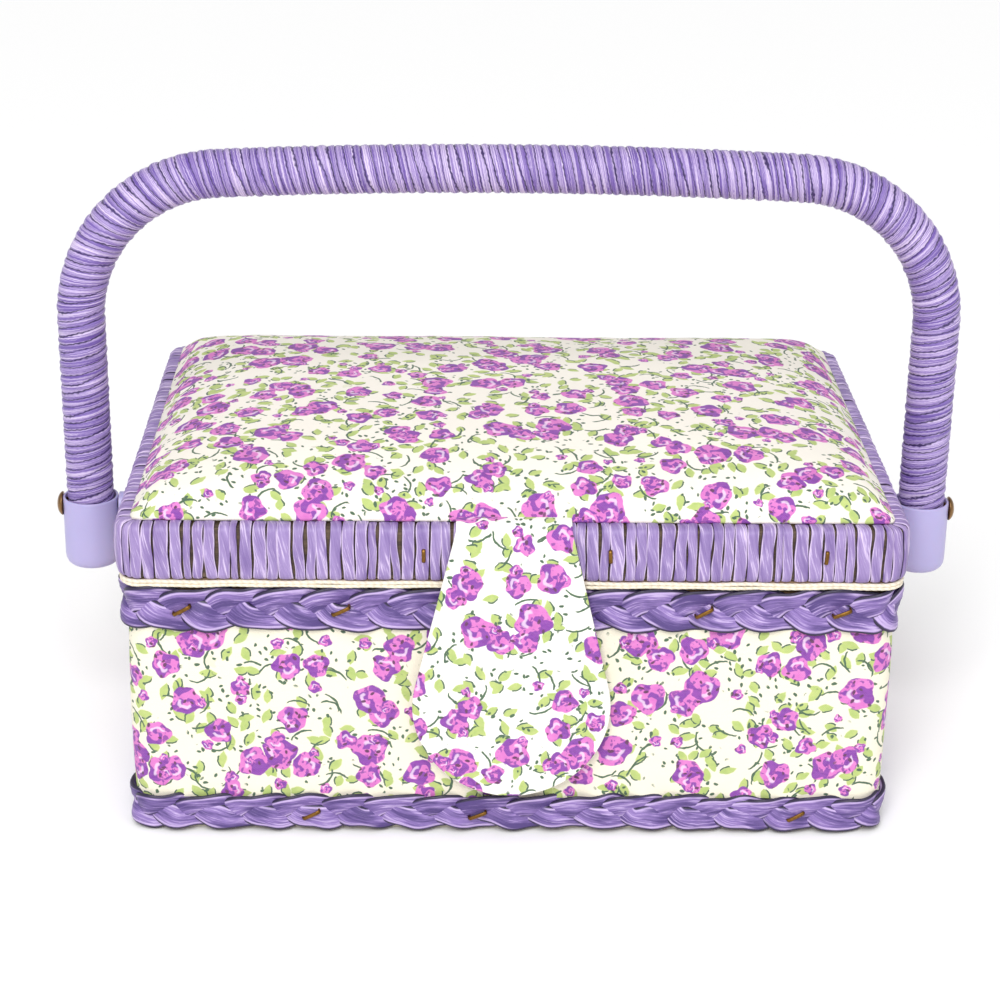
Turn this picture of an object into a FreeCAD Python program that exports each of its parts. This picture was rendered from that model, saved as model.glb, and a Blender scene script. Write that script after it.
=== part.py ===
import FreeCAD, Part

import os
import re

import Sketcher

# Covered sewing box: a fabric-covered chest with plaited raffia braids, a padded lid
# in a raffia-wrapped frame, a wrapped carrying handle, a magnetic flap and two trays.
# Millimetres. The origin is the middle of the underside, +Z is up, the front faces -Y.

SIZES = {
    # chest: wall panels standing on the base board
    "cover_thick": 1,
    "board_thick": 4,
    "wall_width": 231,
    "wall_depth": 161,
    "wall_thick": 5,
    "wall_round": 6,
    "wall_top": 84,
    "lining_thick": 1,
    "lining_top": 83,
    "fabric_thick": 2,
    "trim_gap": 0.2,
    # plaited braids
    "rim_thick": 4,
    "rim_low": 70,
    "foot_thick": 3.5,
    "foot_top": 13,
    # lid frame: four rails, each inside a sleeve of raffia
    "lid_width": 240,
    "lid_depth": 170,
    "lid_low": 86.7,
    "lid_top": 104.5,
    "lid_round": 8,
    "sleeve_wide": 7,
    "wrap_thick": 1,
    "gimp_low": 84.3,
    "gimp_wide": 3.5,
    "gimp_inset": 1,
    # lid filling
    "fit_gap": 0.1,
    "lid_board_low": 101,
    "lid_board_high": 103.5,
    "dome_rise": 15,
    "dome_corner": 16,
    "skin_thick": 0.8,
    "lining_pad": 2,
    "lining_side": 4.4,
    "lining_low": 87,
    "pocket_width": 150,
    "pocket_deep": 52,
    "pocket_thick": 3,
    "pocket_ply": 0.7,
    "pocket_front": -68,
    "cushion_width": 62,
    "cushion_deep": 46,
    "cushion_thick": 8,
    "cushion_place": 60,
    "cushion_back": 34,
    # flap
    "flap_near": 85.9,
    "ply_thick": 0.6,
    "stiff_thick": 1.2,
    "stiff_inset": 2,
    "flap_top": 104,
    "flap_half": 17.4,
    "flap_round": 30.4,
    "flap_centre": 46,
    "anchor_thick": 1.2,
    "anchor_front": 85.6,
    "magnet_radius": 6,
    "magnet_height": 32,
    "catch_radius": 8,
    "catch_thick": 1.2,
    # handle
    "leg_place": 138.7,
    "leg_top": 142.1,
    "corner_radius": 48,
    "bow_radius": 1880,
    "grip_radius": 8,
    "core_radius": 5.5,
    "core_foot": 60,
    "ferrule_radius": 9.2,
    "ferrule_low": 56,
    "ferrule_top": 80,
    "ferrule_edge": 3,
    # handle pivots
    "pivot_height": 77,
    "rivet_radius": 2,
    "rivet_play": 0.05,
    "rivet_head": 4,
    "rivet_crown": 2.6,
    "head_thick": 1.7,
    "head_gap": 0.2,
    "bush_radius": 4,
    "bush_gap": 0.35,
    "washer_radius": 5,
    "washer_thick": 1.5,
    # rear hinges
    "hinge_place": 70,
    "hinge_half": 15,
    "hinge_back": 87.2,
    "hinge_height": 85.4,
    "knuckle_radius": 2.2,
    "knuckle_half": 5,
    "knuckle_gap": 0.3,
    "pin_radius": 0.8,
    "pin_play": 0.05,
    "leaf_thick": 1,
    "leaf_clear": 2.6,
    "leaf_reach": 15,
    "screw_step": 10,
    "screw_drop": 8.5,
    "screw_radius": 0.9,
    "screw_head": 1.8,
    "screw_head_thick": 0.7,
    "screw_length": 6,
    # staples
    "staple_half": 2.5,
    "staple_wire": 0.6,
    "staple_leg": 3,
    # trays on their ledges
    "ledge_low": 45.7,
    "ledge_top": 49.7,
    "ledge_wide": 4,
    "ledge_half": 106,
    "tray_between": 1,
    "tray_width": 106.8,
    "tray_depth": 146,
    "tray_low": 50,
    "tray_top": 76,
    "tray_wall": 1.6,
    "tray_round": 5,
}

doc = FreeCAD.newDocument("sewing_box")
sheet = doc.addObject("Spreadsheet::Sheet", "Sizes")
for row, (alias, size) in enumerate(SIZES.items(), start=1):
    sheet.set(f"A{row}", alias)
    sheet.set(f"B{row}", str(size))
    sheet.setAlias(f"B{row}", alias)
doc.recompute()

nodes = []


# ---------------------------------------------------------------- helpers

def cells(text):
    """Puts the sheet's name before each alias in an expression."""
    def named(word):
        return "Sizes." + word.group() if word.group() in SIZES else word.group()
    return re.sub(r"[a-z_]+", named, text)


def bind(thing, size, text):
    thing.setExpression(size, cells(text))


def place(thing, x="0", y="0", z="0"):
    """Moves a thing to a place worked out from the sheet, keeping its turn."""
    for axis, text in zip("xyz", (x, y, z)):
        bind(thing, "Placement.Base." + axis, text)
    return thing


def node(thing, label):
    """Marks a finished thing as the sub-part of that name."""
    thing.Label = label
    nodes.append(thing)
    return thing


def block(name, x, y, z):
    """A block; x, y and z each give its low and its high side."""
    made = doc.addObject("Part::Box", name)
    for side, (low, high) in zip(("Length", "Width", "Height"), (x, y, z)):
        bind(made, side, f"({high}) - ({low})")
    return place(made, x[0], y[0], z[0])


TURNS = {
    "x": FreeCAD.Rotation(FreeCAD.Vector(0, 1, 0), 90),
    "-x": FreeCAD.Rotation(FreeCAD.Vector(0, 1, 0), -90),
    "y": FreeCAD.Rotation(FreeCAD.Vector(1, 0, 0), -90),
    "-y": FreeCAD.Rotation(FreeCAD.Vector(1, 0, 0), 90),
    "z": FreeCAD.Rotation(),
}


def rod(name, along, radius, length, x="0", y="0", z="0", tip=None):
    """A cylinder, or with a tip radius a cone, that starts at a place and runs one way."""
    made = doc.addObject("Part::Cone" if tip else "Part::Cylinder", name)
    if tip:
        bind(made, "Radius1", radius)
        bind(made, "Radius2", tip)
    else:
        bind(made, "Radius", radius)
    bind(made, "Height", length)
    made.Placement.Rotation = TURNS[along]
    return place(made, x, y, z)


def fused(name, pieces):
    made = doc.addObject("Part::MultiFuse", name)
    made.Shapes = pieces
    return made


def group(name, pieces):
    """Separate solids that are kept together, such as identical fasteners."""
    made = doc.addObject("Part::Compound", name)
    made.Links = pieces
    return made


def cut(name, base, tools):
    made = doc.addObject("Part::Cut", name)
    made.Base = base
    made.Tool = tools[0] if len(tools) == 1 else fused(name + "_tools", tools)
    return made


def common(name, base, tool):
    made = doc.addObject("Part::Common", name)
    made.Base = base
    made.Tool = tool
    return made


def sketch_on(body, name, role):
    """A sketch on one of its own body's origin planes."""
    sketch = body.newObject("Sketcher::SketchObject", name)
    plane = next(item for item in body.Origin.OriginFeatures if item.Role == role)
    sketch.AttachmentSupport = [(plane, "")]
    sketch.MapMode = "FlatFace"
    return sketch


def drive(sketch, rules):
    """Adds dimensions to a sketch: each rule gives a kind, the places it measures,
    the size it is drawn at and the expression that then drives it."""
    for kind, places, start, text in rules:
        number = sketch.addConstraint(Sketcher.Constraint(kind, *places, start))
        sketch.renameConstraint(number, f"size_{number}")
        bind(sketch, f"Constraints.size_{number}", text)


def rounded_outline(sketch, start, sizes):
    """A centred rectangle with round corners: start is a width, depth and radius to
    draw it at, and sizes are the three expressions that then drive it."""
    width, depth, radius = start
    x = width / 2
    y = depth / 2
    up = FreeCAD.Vector(0, 0, 1)
    quarter = FreeCAD.Units.Quantity("90 deg").getValueAs("rad").Value
    corners = ((x - radius, -y + radius), (x - radius, y - radius),
               (-x + radius, y - radius), (-x + radius, -y + radius))
    sides = (((-x + radius, -y), (x - radius, -y)), ((x, -y + radius), (x, y - radius)),
             ((x - radius, y), (-x + radius, y)), ((-x, y - radius), (-x, -y + radius)))
    first = sketch.GeometryCount
    for turn in range(4):
        low, high = (FreeCAD.Vector(*point, 0) for point in sides[turn])
        sketch.addGeometry(Part.LineSegment(low, high))
        circle = Part.Circle(FreeCAD.Vector(*corners[turn], 0), up, radius)
        sketch.addGeometry(Part.ArcOfCircle(circle, (turn - 1) * quarter, turn * quarter))
    for piece in range(8):
        following = first + (piece + 1) % 8
        sketch.addConstraint(Sketcher.Constraint("Tangent", first + piece, 2, following, 1))
    for piece, kind in ((0, "Horizontal"), (2, "Vertical"), (4, "Horizontal"), (6, "Vertical")):
        sketch.addConstraint(Sketcher.Constraint(kind, first + piece))
    for piece in (3, 5, 7):
        sketch.addConstraint(Sketcher.Constraint("Equal", first + 1, first + piece))
    sketch.addConstraint(Sketcher.Constraint("Symmetric", first, 1, first + 4, 1, -1, 1))
    drive(sketch, (("DistanceX", (first + 6, 1, first + 2, 1), width, sizes[0]),
                   ("DistanceY", (first, 2, first + 4, 1), depth, sizes[1]),
                   ("Radius", (first + 1,), radius, sizes[2])))


def plate(name, outline, low, high, hole=None, x="0", y="0"):
    """A flat piece with round corners, cut through by a hole with round corners."""
    body = doc.addObject("PartDesign::Body", name)
    sketch = sketch_on(body, name + "_outline", "XY_Plane")
    rounded_outline(sketch, (100, 60, 4), outline)
    if hole:
        rounded_outline(sketch, (80, 40, 3), hole)
    pad = body.newObject("PartDesign::Pad", name + "_pad")
    pad.Profile = sketch
    bind(pad, "Length", f"({high}) - ({low})")
    body.Tip = pad
    return place(body, x, y, low)


def both(name, make):
    """The left and right copies of a piece, made by a function of the side's sign."""
    for label, side in (("left", "-1"), ("right", "1")):
        make(f"{name}_{label}", side)


# ---------------------------------------------------------------- chest

WALL_X = "wall_width / 2"
WALL_Y = "wall_depth / 2"
FLOOR = "cover_thick + board_thick"
PIVOT_BORE = "rivet_radius + 2 * rivet_play"


def pivot_bore(name, low="0"):
    """A hole right across the chest for both handle rivets."""
    length = "wall_width + 100"
    return rod(name, "x", PIVOT_BORE, length, x=f"-({length}) / 2", z="pivot_height")


def make_chest():
    wall_shape = ("wall_width", "wall_depth", "wall_round")
    node(plate("BaseCover", ("wall_width - 1", "wall_depth - 1", "wall_round"),
               "0", "cover_thick"), "base_cover")
    node(plate("BaseBoard", wall_shape, "cover_thick", FLOOR), "base_board")
    walls = plate("WallShape", wall_shape, FLOOR, "wall_top")
    height = (FLOOR, "wall_top")
    inside_x = f"{WALL_X} - wall_thick"
    inside_y = f"{WALL_Y} - wall_thick"
    across = (f"-({WALL_X})", WALL_X)
    front = common("FrontWall", walls,
                   block("FrontWallPart", across, (f"-({WALL_Y})", f"-({inside_y})"), height))
    recess = rod("CatchRecess", "y", "catch_radius", "catch_thick",
                 y=f"-({WALL_Y})", z="magnet_height")
    node(cut("FrontPanel", front, [recess]), "front_panel")
    node(common("RearPanel", walls,
                block("RearWallPart", across, (inside_y, WALL_Y), height)), "rear_panel")
    between = (f"-({inside_y})", inside_y)
    for label, side in (("left_panel", (f"-({WALL_X})", f"-({inside_x})")),
                        ("right_panel", (inside_x, WALL_X))):
        wall = common(label + "_wall", walls, block(label + "_part", side, between, height))
        node(cut(label + "_bored", wall, [pivot_bore(label + "_bore")]), label)
    node(rod("CatchPlate", "y", "catch_radius", "catch_thick",
             y=f"-({WALL_Y})", z="magnet_height"), "catch_plate")
    node(plate("OuterFabric",
               ("wall_width + 2 * fabric_thick", "wall_depth + 2 * fabric_thick",
                "wall_round + fabric_thick"),
               "foot_top + trim_gap", "rim_low - trim_gap", hole=wall_shape), "outer_fabric")
    make_lining(inside_x, inside_y)
    make_braids(wall_shape)
    face = f"({inside_y} - lining_thick)"
    ledge_height = ("ledge_low", "ledge_top")
    node(block("FrontLedge", ("-ledge_half", "ledge_half"),
               (f"-{face}", f"-{face} + ledge_wide"), ledge_height), "ledge_front")
    node(block("RearLedge", ("-ledge_half", "ledge_half"),
               (f"{face} - ledge_wide", face), ledge_height), "ledge_rear")


def make_lining(inside_x, inside_y):
    """The cloth tub inside: four sides and a floor."""
    tub = block("LiningTub", (f"-({inside_x})", inside_x), (f"-({inside_y})", inside_y),
                (FLOOR, "lining_top"))
    room_x = f"({inside_x}) - lining_thick"
    room_y = f"({inside_y}) - lining_thick"
    room = block("LiningRoom", (f"-({room_x})", room_x), (f"-({room_y})", room_y),
                 (f"{FLOOR} + lining_thick", "wall_top"))
    node(cut("InnerLining", tub, [room, pivot_bore("LiningBore")]), "inner_lining")


def make_braids(wall_shape):
    rim = plate("RimBraidRing",
                ("wall_width + 2 * rim_thick", "wall_depth + 2 * rim_thick",
                 "wall_round + rim_thick"), "rim_low", "wall_top", hole=wall_shape)
    node(cut("RimBraid", rim, [pivot_bore("RimBore")]), "rim_braid")
    node(plate("BaseBraid",
               ("wall_width + 2 * foot_thick", "wall_depth + 2 * foot_thick",
                "wall_round + foot_thick"), "0", "foot_top", hole=wall_shape), "base_braid")


# ---------------------------------------------------------------- staples

def staple(name, x, y, z, upright):
    """A wire staple on a front face: its crown lies on the face, its legs run in."""
    half = "staple_half"
    wire = "staple_wire"
    out = (f"-({y}) - {wire}", f"-({y})")
    through = (f"-({y})", f"-({y}) + staple_leg")
    thin = "staple_wire / 2"
    pieces = []
    if upright:
        pieces.append(block(name + "_crown", (f"{x} - {thin}", f"{x} + {thin}"), out,
                            (f"{z} - {half}", f"{z} + {half}")))
        for tag, end in (("low", f"{z} - {half}"), ("high", f"{z} + {half} - {wire}")):
            pieces.append(block(f"{name}_{tag}", (f"{x} - {thin}", f"{x} + {thin}"), through,
                                (end, f"{end} + {wire}")))
    else:
        pieces.append(block(name + "_crown", (f"{x} - {half}", f"{x} + {half}"), out,
                            (f"{z} - {thin}", f"{z} + {thin}")))
        for tag, end in (("low", f"{x} - {half}"), ("high", f"{x} + {half} - {wire}")):
            pieces.append(block(f"{name}_{tag}", (end, f"{end} + {wire}"), through,
                                (f"{z} - {thin}", f"{z} + {thin}")))
    return fused(name, pieces)


def make_staples():
    rim_face = f"{WALL_Y} + rim_thick"
    foot_face = f"{WALL_Y} + foot_thick"
    on_rim = [staple(f"RimStaple{number}", place_x, rim_face, "rim_low + 7", False)
              for number, place_x in enumerate(("-52", "58", "100", "-100"))]
    on_foot = [staple(f"FootStaple{number}", place_x, foot_face, "foot_top / 2", False)
               for number, place_x in enumerate(("-62", "-10", "90"))]
    node(group("BraidStaples", on_rim + on_foot), "braid_staples")
    middle = "(lid_low + lid_top) / 2"
    on_lid = [staple(f"LidStaple{number}", place_x, "lid_depth / 2", middle, True)
              for number, place_x in enumerate(("-27", "29", "94"))]
    node(group("LidStaples", on_lid), "lid_staples")


# ---------------------------------------------------------------- lid

LID_X = "lid_width / 2"
LID_Y = "lid_depth / 2"
ROOM_X = "(lid_width / 2 - sleeve_wide)"
ROOM_Y = "(lid_depth / 2 - sleeve_wide)"


def make_lid_frame():
    """Four rails, each inside the raffia sleeve that is wound on it."""
    outer = plate("FrameShape", ("lid_width", "lid_depth", "lid_round"), "lid_low", "lid_top")
    inner = plate("RailShape",
                  ("lid_width - 2 * wrap_thick", "lid_depth - 2 * wrap_thick",
                   "lid_round - wrap_thick"), "lid_low + wrap_thick", "lid_top - wrap_thick")
    height = ("lid_low", "lid_top")
    rail_height = ("lid_low + wrap_thick", "lid_top - wrap_thick")
    wrap = "wrap_thick"
    whole_x = (f"-({LID_X})", LID_X)
    between_y = (f"-{ROOM_Y}", ROOM_Y)
    sides = {
        "front": (whole_x, (f"-({LID_Y})", f"-{ROOM_Y}"),
                  whole_x, (f"-({LID_Y})", f"-{ROOM_Y} - {wrap}")),
        "rear": (whole_x, (ROOM_Y, LID_Y),
                 whole_x, (f"{ROOM_Y} + {wrap}", LID_Y)),
        "left": ((f"-({LID_X})", f"-{ROOM_X}"), between_y,
                 (f"-({LID_X})", f"-{ROOM_X} - {wrap}"), between_y),
        "right": ((ROOM_X, LID_X), between_y,
                  (f"{ROOM_X} + {wrap}", LID_X), between_y),
    }
    for side, (x, y, rail_x, rail_y) in sides.items():
        rail = common(f"Rail_{side}", inner,
                      block(f"RailPart_{side}", rail_x, rail_y, rail_height))
        sleeve = common(f"Sleeve_{side}", outer, block(f"SleevePart_{side}", x, y, height))
        node(rail, f"lid_rail_{side}")
        node(cut(f"Wrap_{side}", sleeve, [rail]), f"lid_wrap_{side}")
    edge = "2 * gimp_inset"
    deep = "2 * (gimp_inset + gimp_wide)"
    node(plate("Gimp", (f"lid_width - {edge}", f"lid_depth - {edge}", "lid_round - gimp_inset"),
               "gimp_low", "lid_low",
               hole=(f"lid_width - {deep}", f"lid_depth - {deep}", "lid_round / 2")), "lid_gimp")


# how far each section of the crown lies in from the edge, as a share of half its depth
CROWN_STEPS = (0, 0.03, 0.1, 0.22, 0.4, 0.65)


def crown(name, inset, rise):
    """A padded crown on the lid board: its sections follow a quarter of an ellipse."""
    body = doc.addObject("PartDesign::Body", name)
    levels = [("0", "lid_board_high")]
    for step in CROWN_STEPS:
        levels.append((step, f"lid_top + ({rise}) * sqrt(1 - (1 - {step})^2)"))
    sections = []
    for number, (step, level) in enumerate(levels):
        shrink = f"2 * ({inset} + {step} * ({ROOM_Y} - ({inset})))"
        sketch = sketch_on(body, f"{name}_section{number}", "XY_Plane")
        bind(sketch, "AttachmentOffset.Base.z", level)
        rounded_outline(sketch, (100, 60, 10), (f"2 * {ROOM_X} - {shrink}",
                                                f"2 * {ROOM_Y} - {shrink}", "dome_corner"))
        sections.append(sketch)
    loft = body.newObject("PartDesign::AdditiveLoft", name + "_loft")
    loft.Profile = sections[0]
    loft.Sections = sections[1:]
    loft.Ruled = True
    body.Tip = loft
    return body


def make_lid_filling():
    node(plate("LidBoard", (f"2 * {ROOM_X} - 2 * fit_gap", f"2 * {ROOM_Y} - 2 * fit_gap", "2"),
               "lid_board_low", "lid_board_high"), "lid_board")
    foam = crown("LidFoam", "fit_gap + skin_thick", "dome_rise - skin_thick")
    skin = crown("LidSkin", "fit_gap", "dome_rise")
    node(foam, "lid_foam")
    node(cut("LidCover", skin, [foam]), "lid_cover")
    out_x = f"{ROOM_X} - fit_gap"
    out_y = f"{ROOM_Y} - fit_gap"
    in_x = f"{ROOM_X} - lining_side"
    in_y = f"{ROOM_Y} - lining_side"
    ceiling = "lid_board_low - lining_pad"
    solid = block("LidLiningSolid", (f"-({out_x})", out_x), (f"-({out_y})", out_y),
                  ("lining_low", "lid_board_low"))
    room = block("LidLiningRoom", (f"-({in_x})", in_x), (f"-({in_y})", in_y),
                 ("lid_low", ceiling))
    node(cut("LidLining", solid, [room]), "lid_lining")
    half = "pocket_width / 2"
    back = "pocket_front + pocket_deep"
    pouch = block("PocketPouch", (f"-({half})", half), ("pocket_front", back),
                  (f"{ceiling} - pocket_thick", ceiling))
    inner_half = f"{half} - pocket_ply"
    hollow = block("PocketHollow", (f"-({inner_half})", inner_half),
                   ("pocket_front + pocket_ply", f"{back} + 1"),
                   (f"{ceiling} - pocket_thick + pocket_ply", ceiling))
    node(cut("LidPocket", pouch, [hollow]), "lid_pocket")
    node(plate("Pincushion", ("cushion_width", "cushion_deep", "12"),
               f"{ceiling} - cushion_thick", ceiling, x="cushion_place", y="cushion_back"),
         "pincushion")


# ---------------------------------------------------------------- flap

def flap_layer(name, near, thick, inset):
    """One layer of the flap: a round foot whose tangents run up to a narrower top."""
    body = doc.addObject("PartDesign::Body", name)
    sketch = sketch_on(body, name + "_outline", "XZ_Plane")
    half, top, low, radius = 17.4, 104.0, 46.0, 30.4
    side_x, side_z = 29.57, 53.05
    up = FreeCAD.Vector(0, 0, 1)
    quarter = FreeCAD.Units.Quantity("90 deg").getValueAs("rad").Value
    lean = 0.15 * quarter
    corner_left = FreeCAD.Vector(-half, top, 0)
    corner_right = FreeCAD.Vector(half, top, 0)
    touch_left = FreeCAD.Vector(-side_x, side_z, 0)
    touch_right = FreeCAD.Vector(side_x, side_z, 0)
    foot = Part.Circle(FreeCAD.Vector(0, low, 0), up, radius)
    sketch.addGeometry(Part.LineSegment(corner_left, corner_right))
    sketch.addGeometry(Part.LineSegment(corner_right, touch_right))
    sketch.addGeometry(Part.ArcOfCircle(foot, 2 * quarter - lean, 4 * quarter + lean))
    sketch.addGeometry(Part.LineSegment(touch_left, corner_left))
    for rule in (("Coincident", 0, 2, 1, 1), ("Tangent", 1, 2, 2, 2), ("Tangent", 2, 1, 3, 1),
                 ("Coincident", 3, 2, 0, 1), ("Symmetric", 0, 1, 0, 2, -2),
                 ("PointOnObject", 2, 3, -2)):
        sketch.addConstraint(Sketcher.Constraint(*rule))
    drive(sketch, (("DistanceX", (0, 1, 0, 2), 2 * half, f"2 * (flap_half - {inset})"),
                   ("DistanceY", (-1, 1, 0, 1), top, "flap_top"),
                   ("DistanceY", (-1, 1, 2, 3), low, "flap_centre"),
                   ("Radius", (2,), radius, f"flap_round - {inset}")))
    pad = body.newObject("PartDesign::Pad", name + "_pad")
    pad.Profile = sketch
    bind(pad, "Length", thick)
    body.Tip = pad
    return place(body, y=f"-({near})")


def make_flap():
    middle = "flap_near + ply_thick"
    outer = f"{middle} + stiff_thick"
    node(flap_layer("FlapBack", "flap_near", "ply_thick", "0"), "flap_back_ply")
    node(flap_layer("FlapFront", outer, "ply_thick", "0"), "flap_front_ply")
    board = flap_layer("FlapBoard", middle, "stiff_thick", "stiff_inset")
    seat = rod("MagnetSeat", "-y", "magnet_radius", "stiff_thick",
               y=f"-({middle})", z="magnet_height")
    node(cut("FlapStiffener", board, [seat]), "flap_stiffener")
    node(rod("FlapMagnet", "-y", "magnet_radius", "stiff_thick",
             y=f"-({middle})", z="magnet_height"), "flap_magnet")
    node(block("FlapAnchor", ("-flap_half", "flap_half"), ("-anchor_front", f"-{ROOM_Y}"),
               ("lid_top", "lid_top + anchor_thick")), "flap_anchor")


# ---------------------------------------------------------------- handle

def handle_pipe(name, foot, outer, inner=None):
    """A bar or tube that runs up one leg, round both corners and down the other leg."""
    body = doc.addObject("PartDesign::Body", name)
    path = sketch_on(body, name + "_path", "XZ_Plane")
    leg, top, low, corner, bow = 138.7, 142.1, 60.0, 48.0, 1880.0
    up = FreeCAD.Vector(0, 0, 1)
    quarter = FreeCAD.Units.Quantity("90 deg").getValueAs("rad").Value
    middle = leg - corner
    lean = middle / (bow - corner)
    bow_z = top - (bow - corner) * (1 - lean ** 2) ** 0.5
    left = Part.Circle(FreeCAD.Vector(-middle, top, 0), up, corner)
    right = Part.Circle(FreeCAD.Vector(middle, top, 0), up, corner)
    crown = Part.Circle(FreeCAD.Vector(0, bow_z, 0), up, bow)
    path.addGeometry(Part.LineSegment(FreeCAD.Vector(-leg, low, 0), FreeCAD.Vector(-leg, top, 0)))
    path.addGeometry(Part.ArcOfCircle(left, quarter + lean, 2 * quarter))
    path.addGeometry(Part.ArcOfCircle(crown, quarter - lean, quarter + lean))
    path.addGeometry(Part.ArcOfCircle(right, 0, quarter - lean))
    path.addGeometry(Part.LineSegment(FreeCAD.Vector(leg, low, 0), FreeCAD.Vector(leg, top, 0)))
    for rule in (("Tangent", 0, 2, 1, 2), ("Tangent", 1, 1, 2, 2), ("Tangent", 2, 1, 3, 2),
                 ("Tangent", 3, 1, 4, 2), ("Vertical", 0), ("Vertical", 4), ("Equal", 1, 3),
                 ("Symmetric", 0, 1, 4, 1, -2), ("PointOnObject", 2, 3, -2)):
        path.addConstraint(Sketcher.Constraint(*rule))
    drive(path, (("DistanceX", (0, 1, 4, 1), 2 * leg, "2 * leg_place"),
                 ("DistanceY", (-1, 1, 0, 1), low, foot),
                 ("DistanceY", (-1, 1, 0, 2), top, "leg_top"),
                 ("Radius", (1,), corner, "corner_radius"),
                 ("Radius", (2,), bow, "bow_radius")))
    section = sketch_on(body, name + "_section", "XY_Plane")
    bind(section, "AttachmentOffset.Base.z", foot)
    for radius, text in ((8.0, outer), (5.0, inner)):
        if text is None:
            continue
        number = section.addGeometry(Part.Circle(FreeCAD.Vector(-leg, 0, 0), up, radius))
        section.addConstraint(Sketcher.Constraint("PointOnObject", number, 3, -1))
        drive(section, (("DistanceX", (number, 3, -1, 1), leg, "leg_place"),
                        ("Radius", (number,), radius, text)))
    doc.recompute()
    pipe = body.newObject("PartDesign::AdditivePipe", name + "_pipe")
    pipe.Profile = section
    pipe.Spine = (path, [f"Edge{number}" for number in range(1, 6)])
    body.Tip = pipe
    return body


def make_handle():
    bar = handle_pipe("HandleCore", "core_foot", "core_radius")
    length = "2 * leg_place + 4 * ferrule_radius"
    bore = rod("HandleBore", "x", "rivet_radius + rivet_play", length,
               x=f"-({length}) / 2", z="pivot_height")
    node(cut("HandleCoreBored", bar, [bore]), "handle_core")
    node(handle_pipe("HandleWrap", "ferrule_top", "grip_radius", "core_radius"), "handle_wrap")
    both("ferrule", ferrule)
    both("pivot_bush", pivot_bush)
    both("rivet", rivet)
    node(group("RivetWashers", [washer("WasherLeft", "-1"), washer("WasherRight", "1")]),
         "rivet_washers")


def ferrule(name, side):
    """The plastic cup that closes one end of the handle and turns on the rivet."""
    centre = f"{side} * leg_place"
    cup = rod(name + "_cup", "z", "ferrule_radius", "ferrule_top - ferrule_low",
              x=centre, z="ferrule_low")
    doc.recompute()
    edges = cup.Shape.Edges
    lowest = min(range(len(edges)), key=lambda n: edges[n].BoundBox.ZMax)
    rounded = doc.addObject("Part::Fillet", name + "_rounded")
    rounded.Base = cup
    rounded.Edges = [(lowest + 1, SIZES["ferrule_edge"], SIZES["ferrule_edge"])]
    socket = rod(name + "_socket", "z", "core_radius", "ferrule_top - core_foot",
                 x=centre, z="core_foot")
    bore = rod(name + "_bore", "x", "rivet_radius + rivet_play", "4 * ferrule_radius",
               x=f"{centre} - 2 * ferrule_radius", z="pivot_height")
    node(cut(name + "_turned", rounded, [socket, bore]), name)


def away(side):
    return "x" if side == "1" else "-x"


def pivot_bush(name, side):
    """The spacer that holds the handle clear of the rim braid."""
    start = f"{WALL_X} + rim_thick"
    length = f"leg_place - ferrule_radius - bush_gap - ({start})"
    tube = rod(name + "_tube", away(side), "bush_radius", length,
               x=f"{side} * ({start})", z="pivot_height")
    bore = rod(name + "_bore", away(side), PIVOT_BORE, length,
               x=f"{side} * ({start})", z="pivot_height")
    node(cut(name + "_bored", tube, [bore]), name)


def rivet(name, side):
    """A shank from inside the chest to a crowned head outside the ferrule."""
    inner = f"{WALL_X} - wall_thick - lining_thick - washer_thick"
    head = "leg_place + ferrule_radius + head_gap"
    shank = rod(name + "_shank", away(side), "rivet_radius", f"{head} - ({inner})",
                x=f"{side} * ({inner})", z="pivot_height")
    crown = rod(name + "_head", away(side), "rivet_head", "head_thick",
                x=f"{side} * ({head})", z="pivot_height", tip="rivet_crown")
    node(fused(name + "_whole", [shank, crown]), name)


def washer(name, side):
    inner = f"{WALL_X} - wall_thick - lining_thick - washer_thick"
    disc = rod(name + "_disc", away(side), "washer_radius", "washer_thick",
               x=f"{side} * ({inner})", z="pivot_height")
    bore = rod(name + "_bore", away(side), "rivet_radius", "washer_thick",
               x=f"{side} * ({inner})", z="pivot_height")
    return cut(name, disc, [bore])


# ---------------------------------------------------------------- hinges

def knuckle(name, side, low, high):
    """One rolled eye of a hinge leaf."""
    return rod(name, "x", "knuckle_radius", f"({high}) - ({low})",
               x=f"{side} * hinge_place + ({low})", y="hinge_back", z="hinge_height")


def pin_bore(name, side):
    return rod(name, "x", "pin_radius + pin_play", "2 * hinge_half",
               x=f"{side} * hinge_place - hinge_half", y="hinge_back", z="hinge_height")


def leaf(name, side, face, eyes, up):
    """A hinge leaf: a plate on the outer face, with a tab to each of its eyes."""
    centre = f"{side} * hinge_place"
    near = f"hinge_height + {up} * leaf_clear"
    far = f"hinge_height + {up} * leaf_reach"
    low, high = (near, far) if up == "1" else (far, near)
    deep = (face, f"{face} + leaf_thick")
    pieces = [block(name + "_plate", (f"{centre} - hinge_half", f"{centre} + hinge_half"),
                    deep, (low, high))]
    for number, (start, end) in enumerate(eyes):
        pieces.append(knuckle(f"{name}_eye{number}", side, start, end))
        tab = (near, "hinge_height") if up == "-1" else ("hinge_height", near)
        pieces.append(block(f"{name}_tab{number}", (f"{centre} + {start}", f"{centre} + {end}"),
                            deep, tab))
    bores = [pin_bore(name + "_bore", side)]
    for number, offset in enumerate(("-screw_step", "screw_step")):
        bores.append(rod(f"{name}_hole{number}", "y", "screw_radius + pin_play", "3 * leaf_thick",
                         x=f"{centre} + {offset}", y=f"{face} - leaf_thick",
                         z=f"hinge_height + {up} * screw_drop"))
    node(cut(name + "_pierced", fused(name + "_whole", pieces), bores), name)


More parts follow.
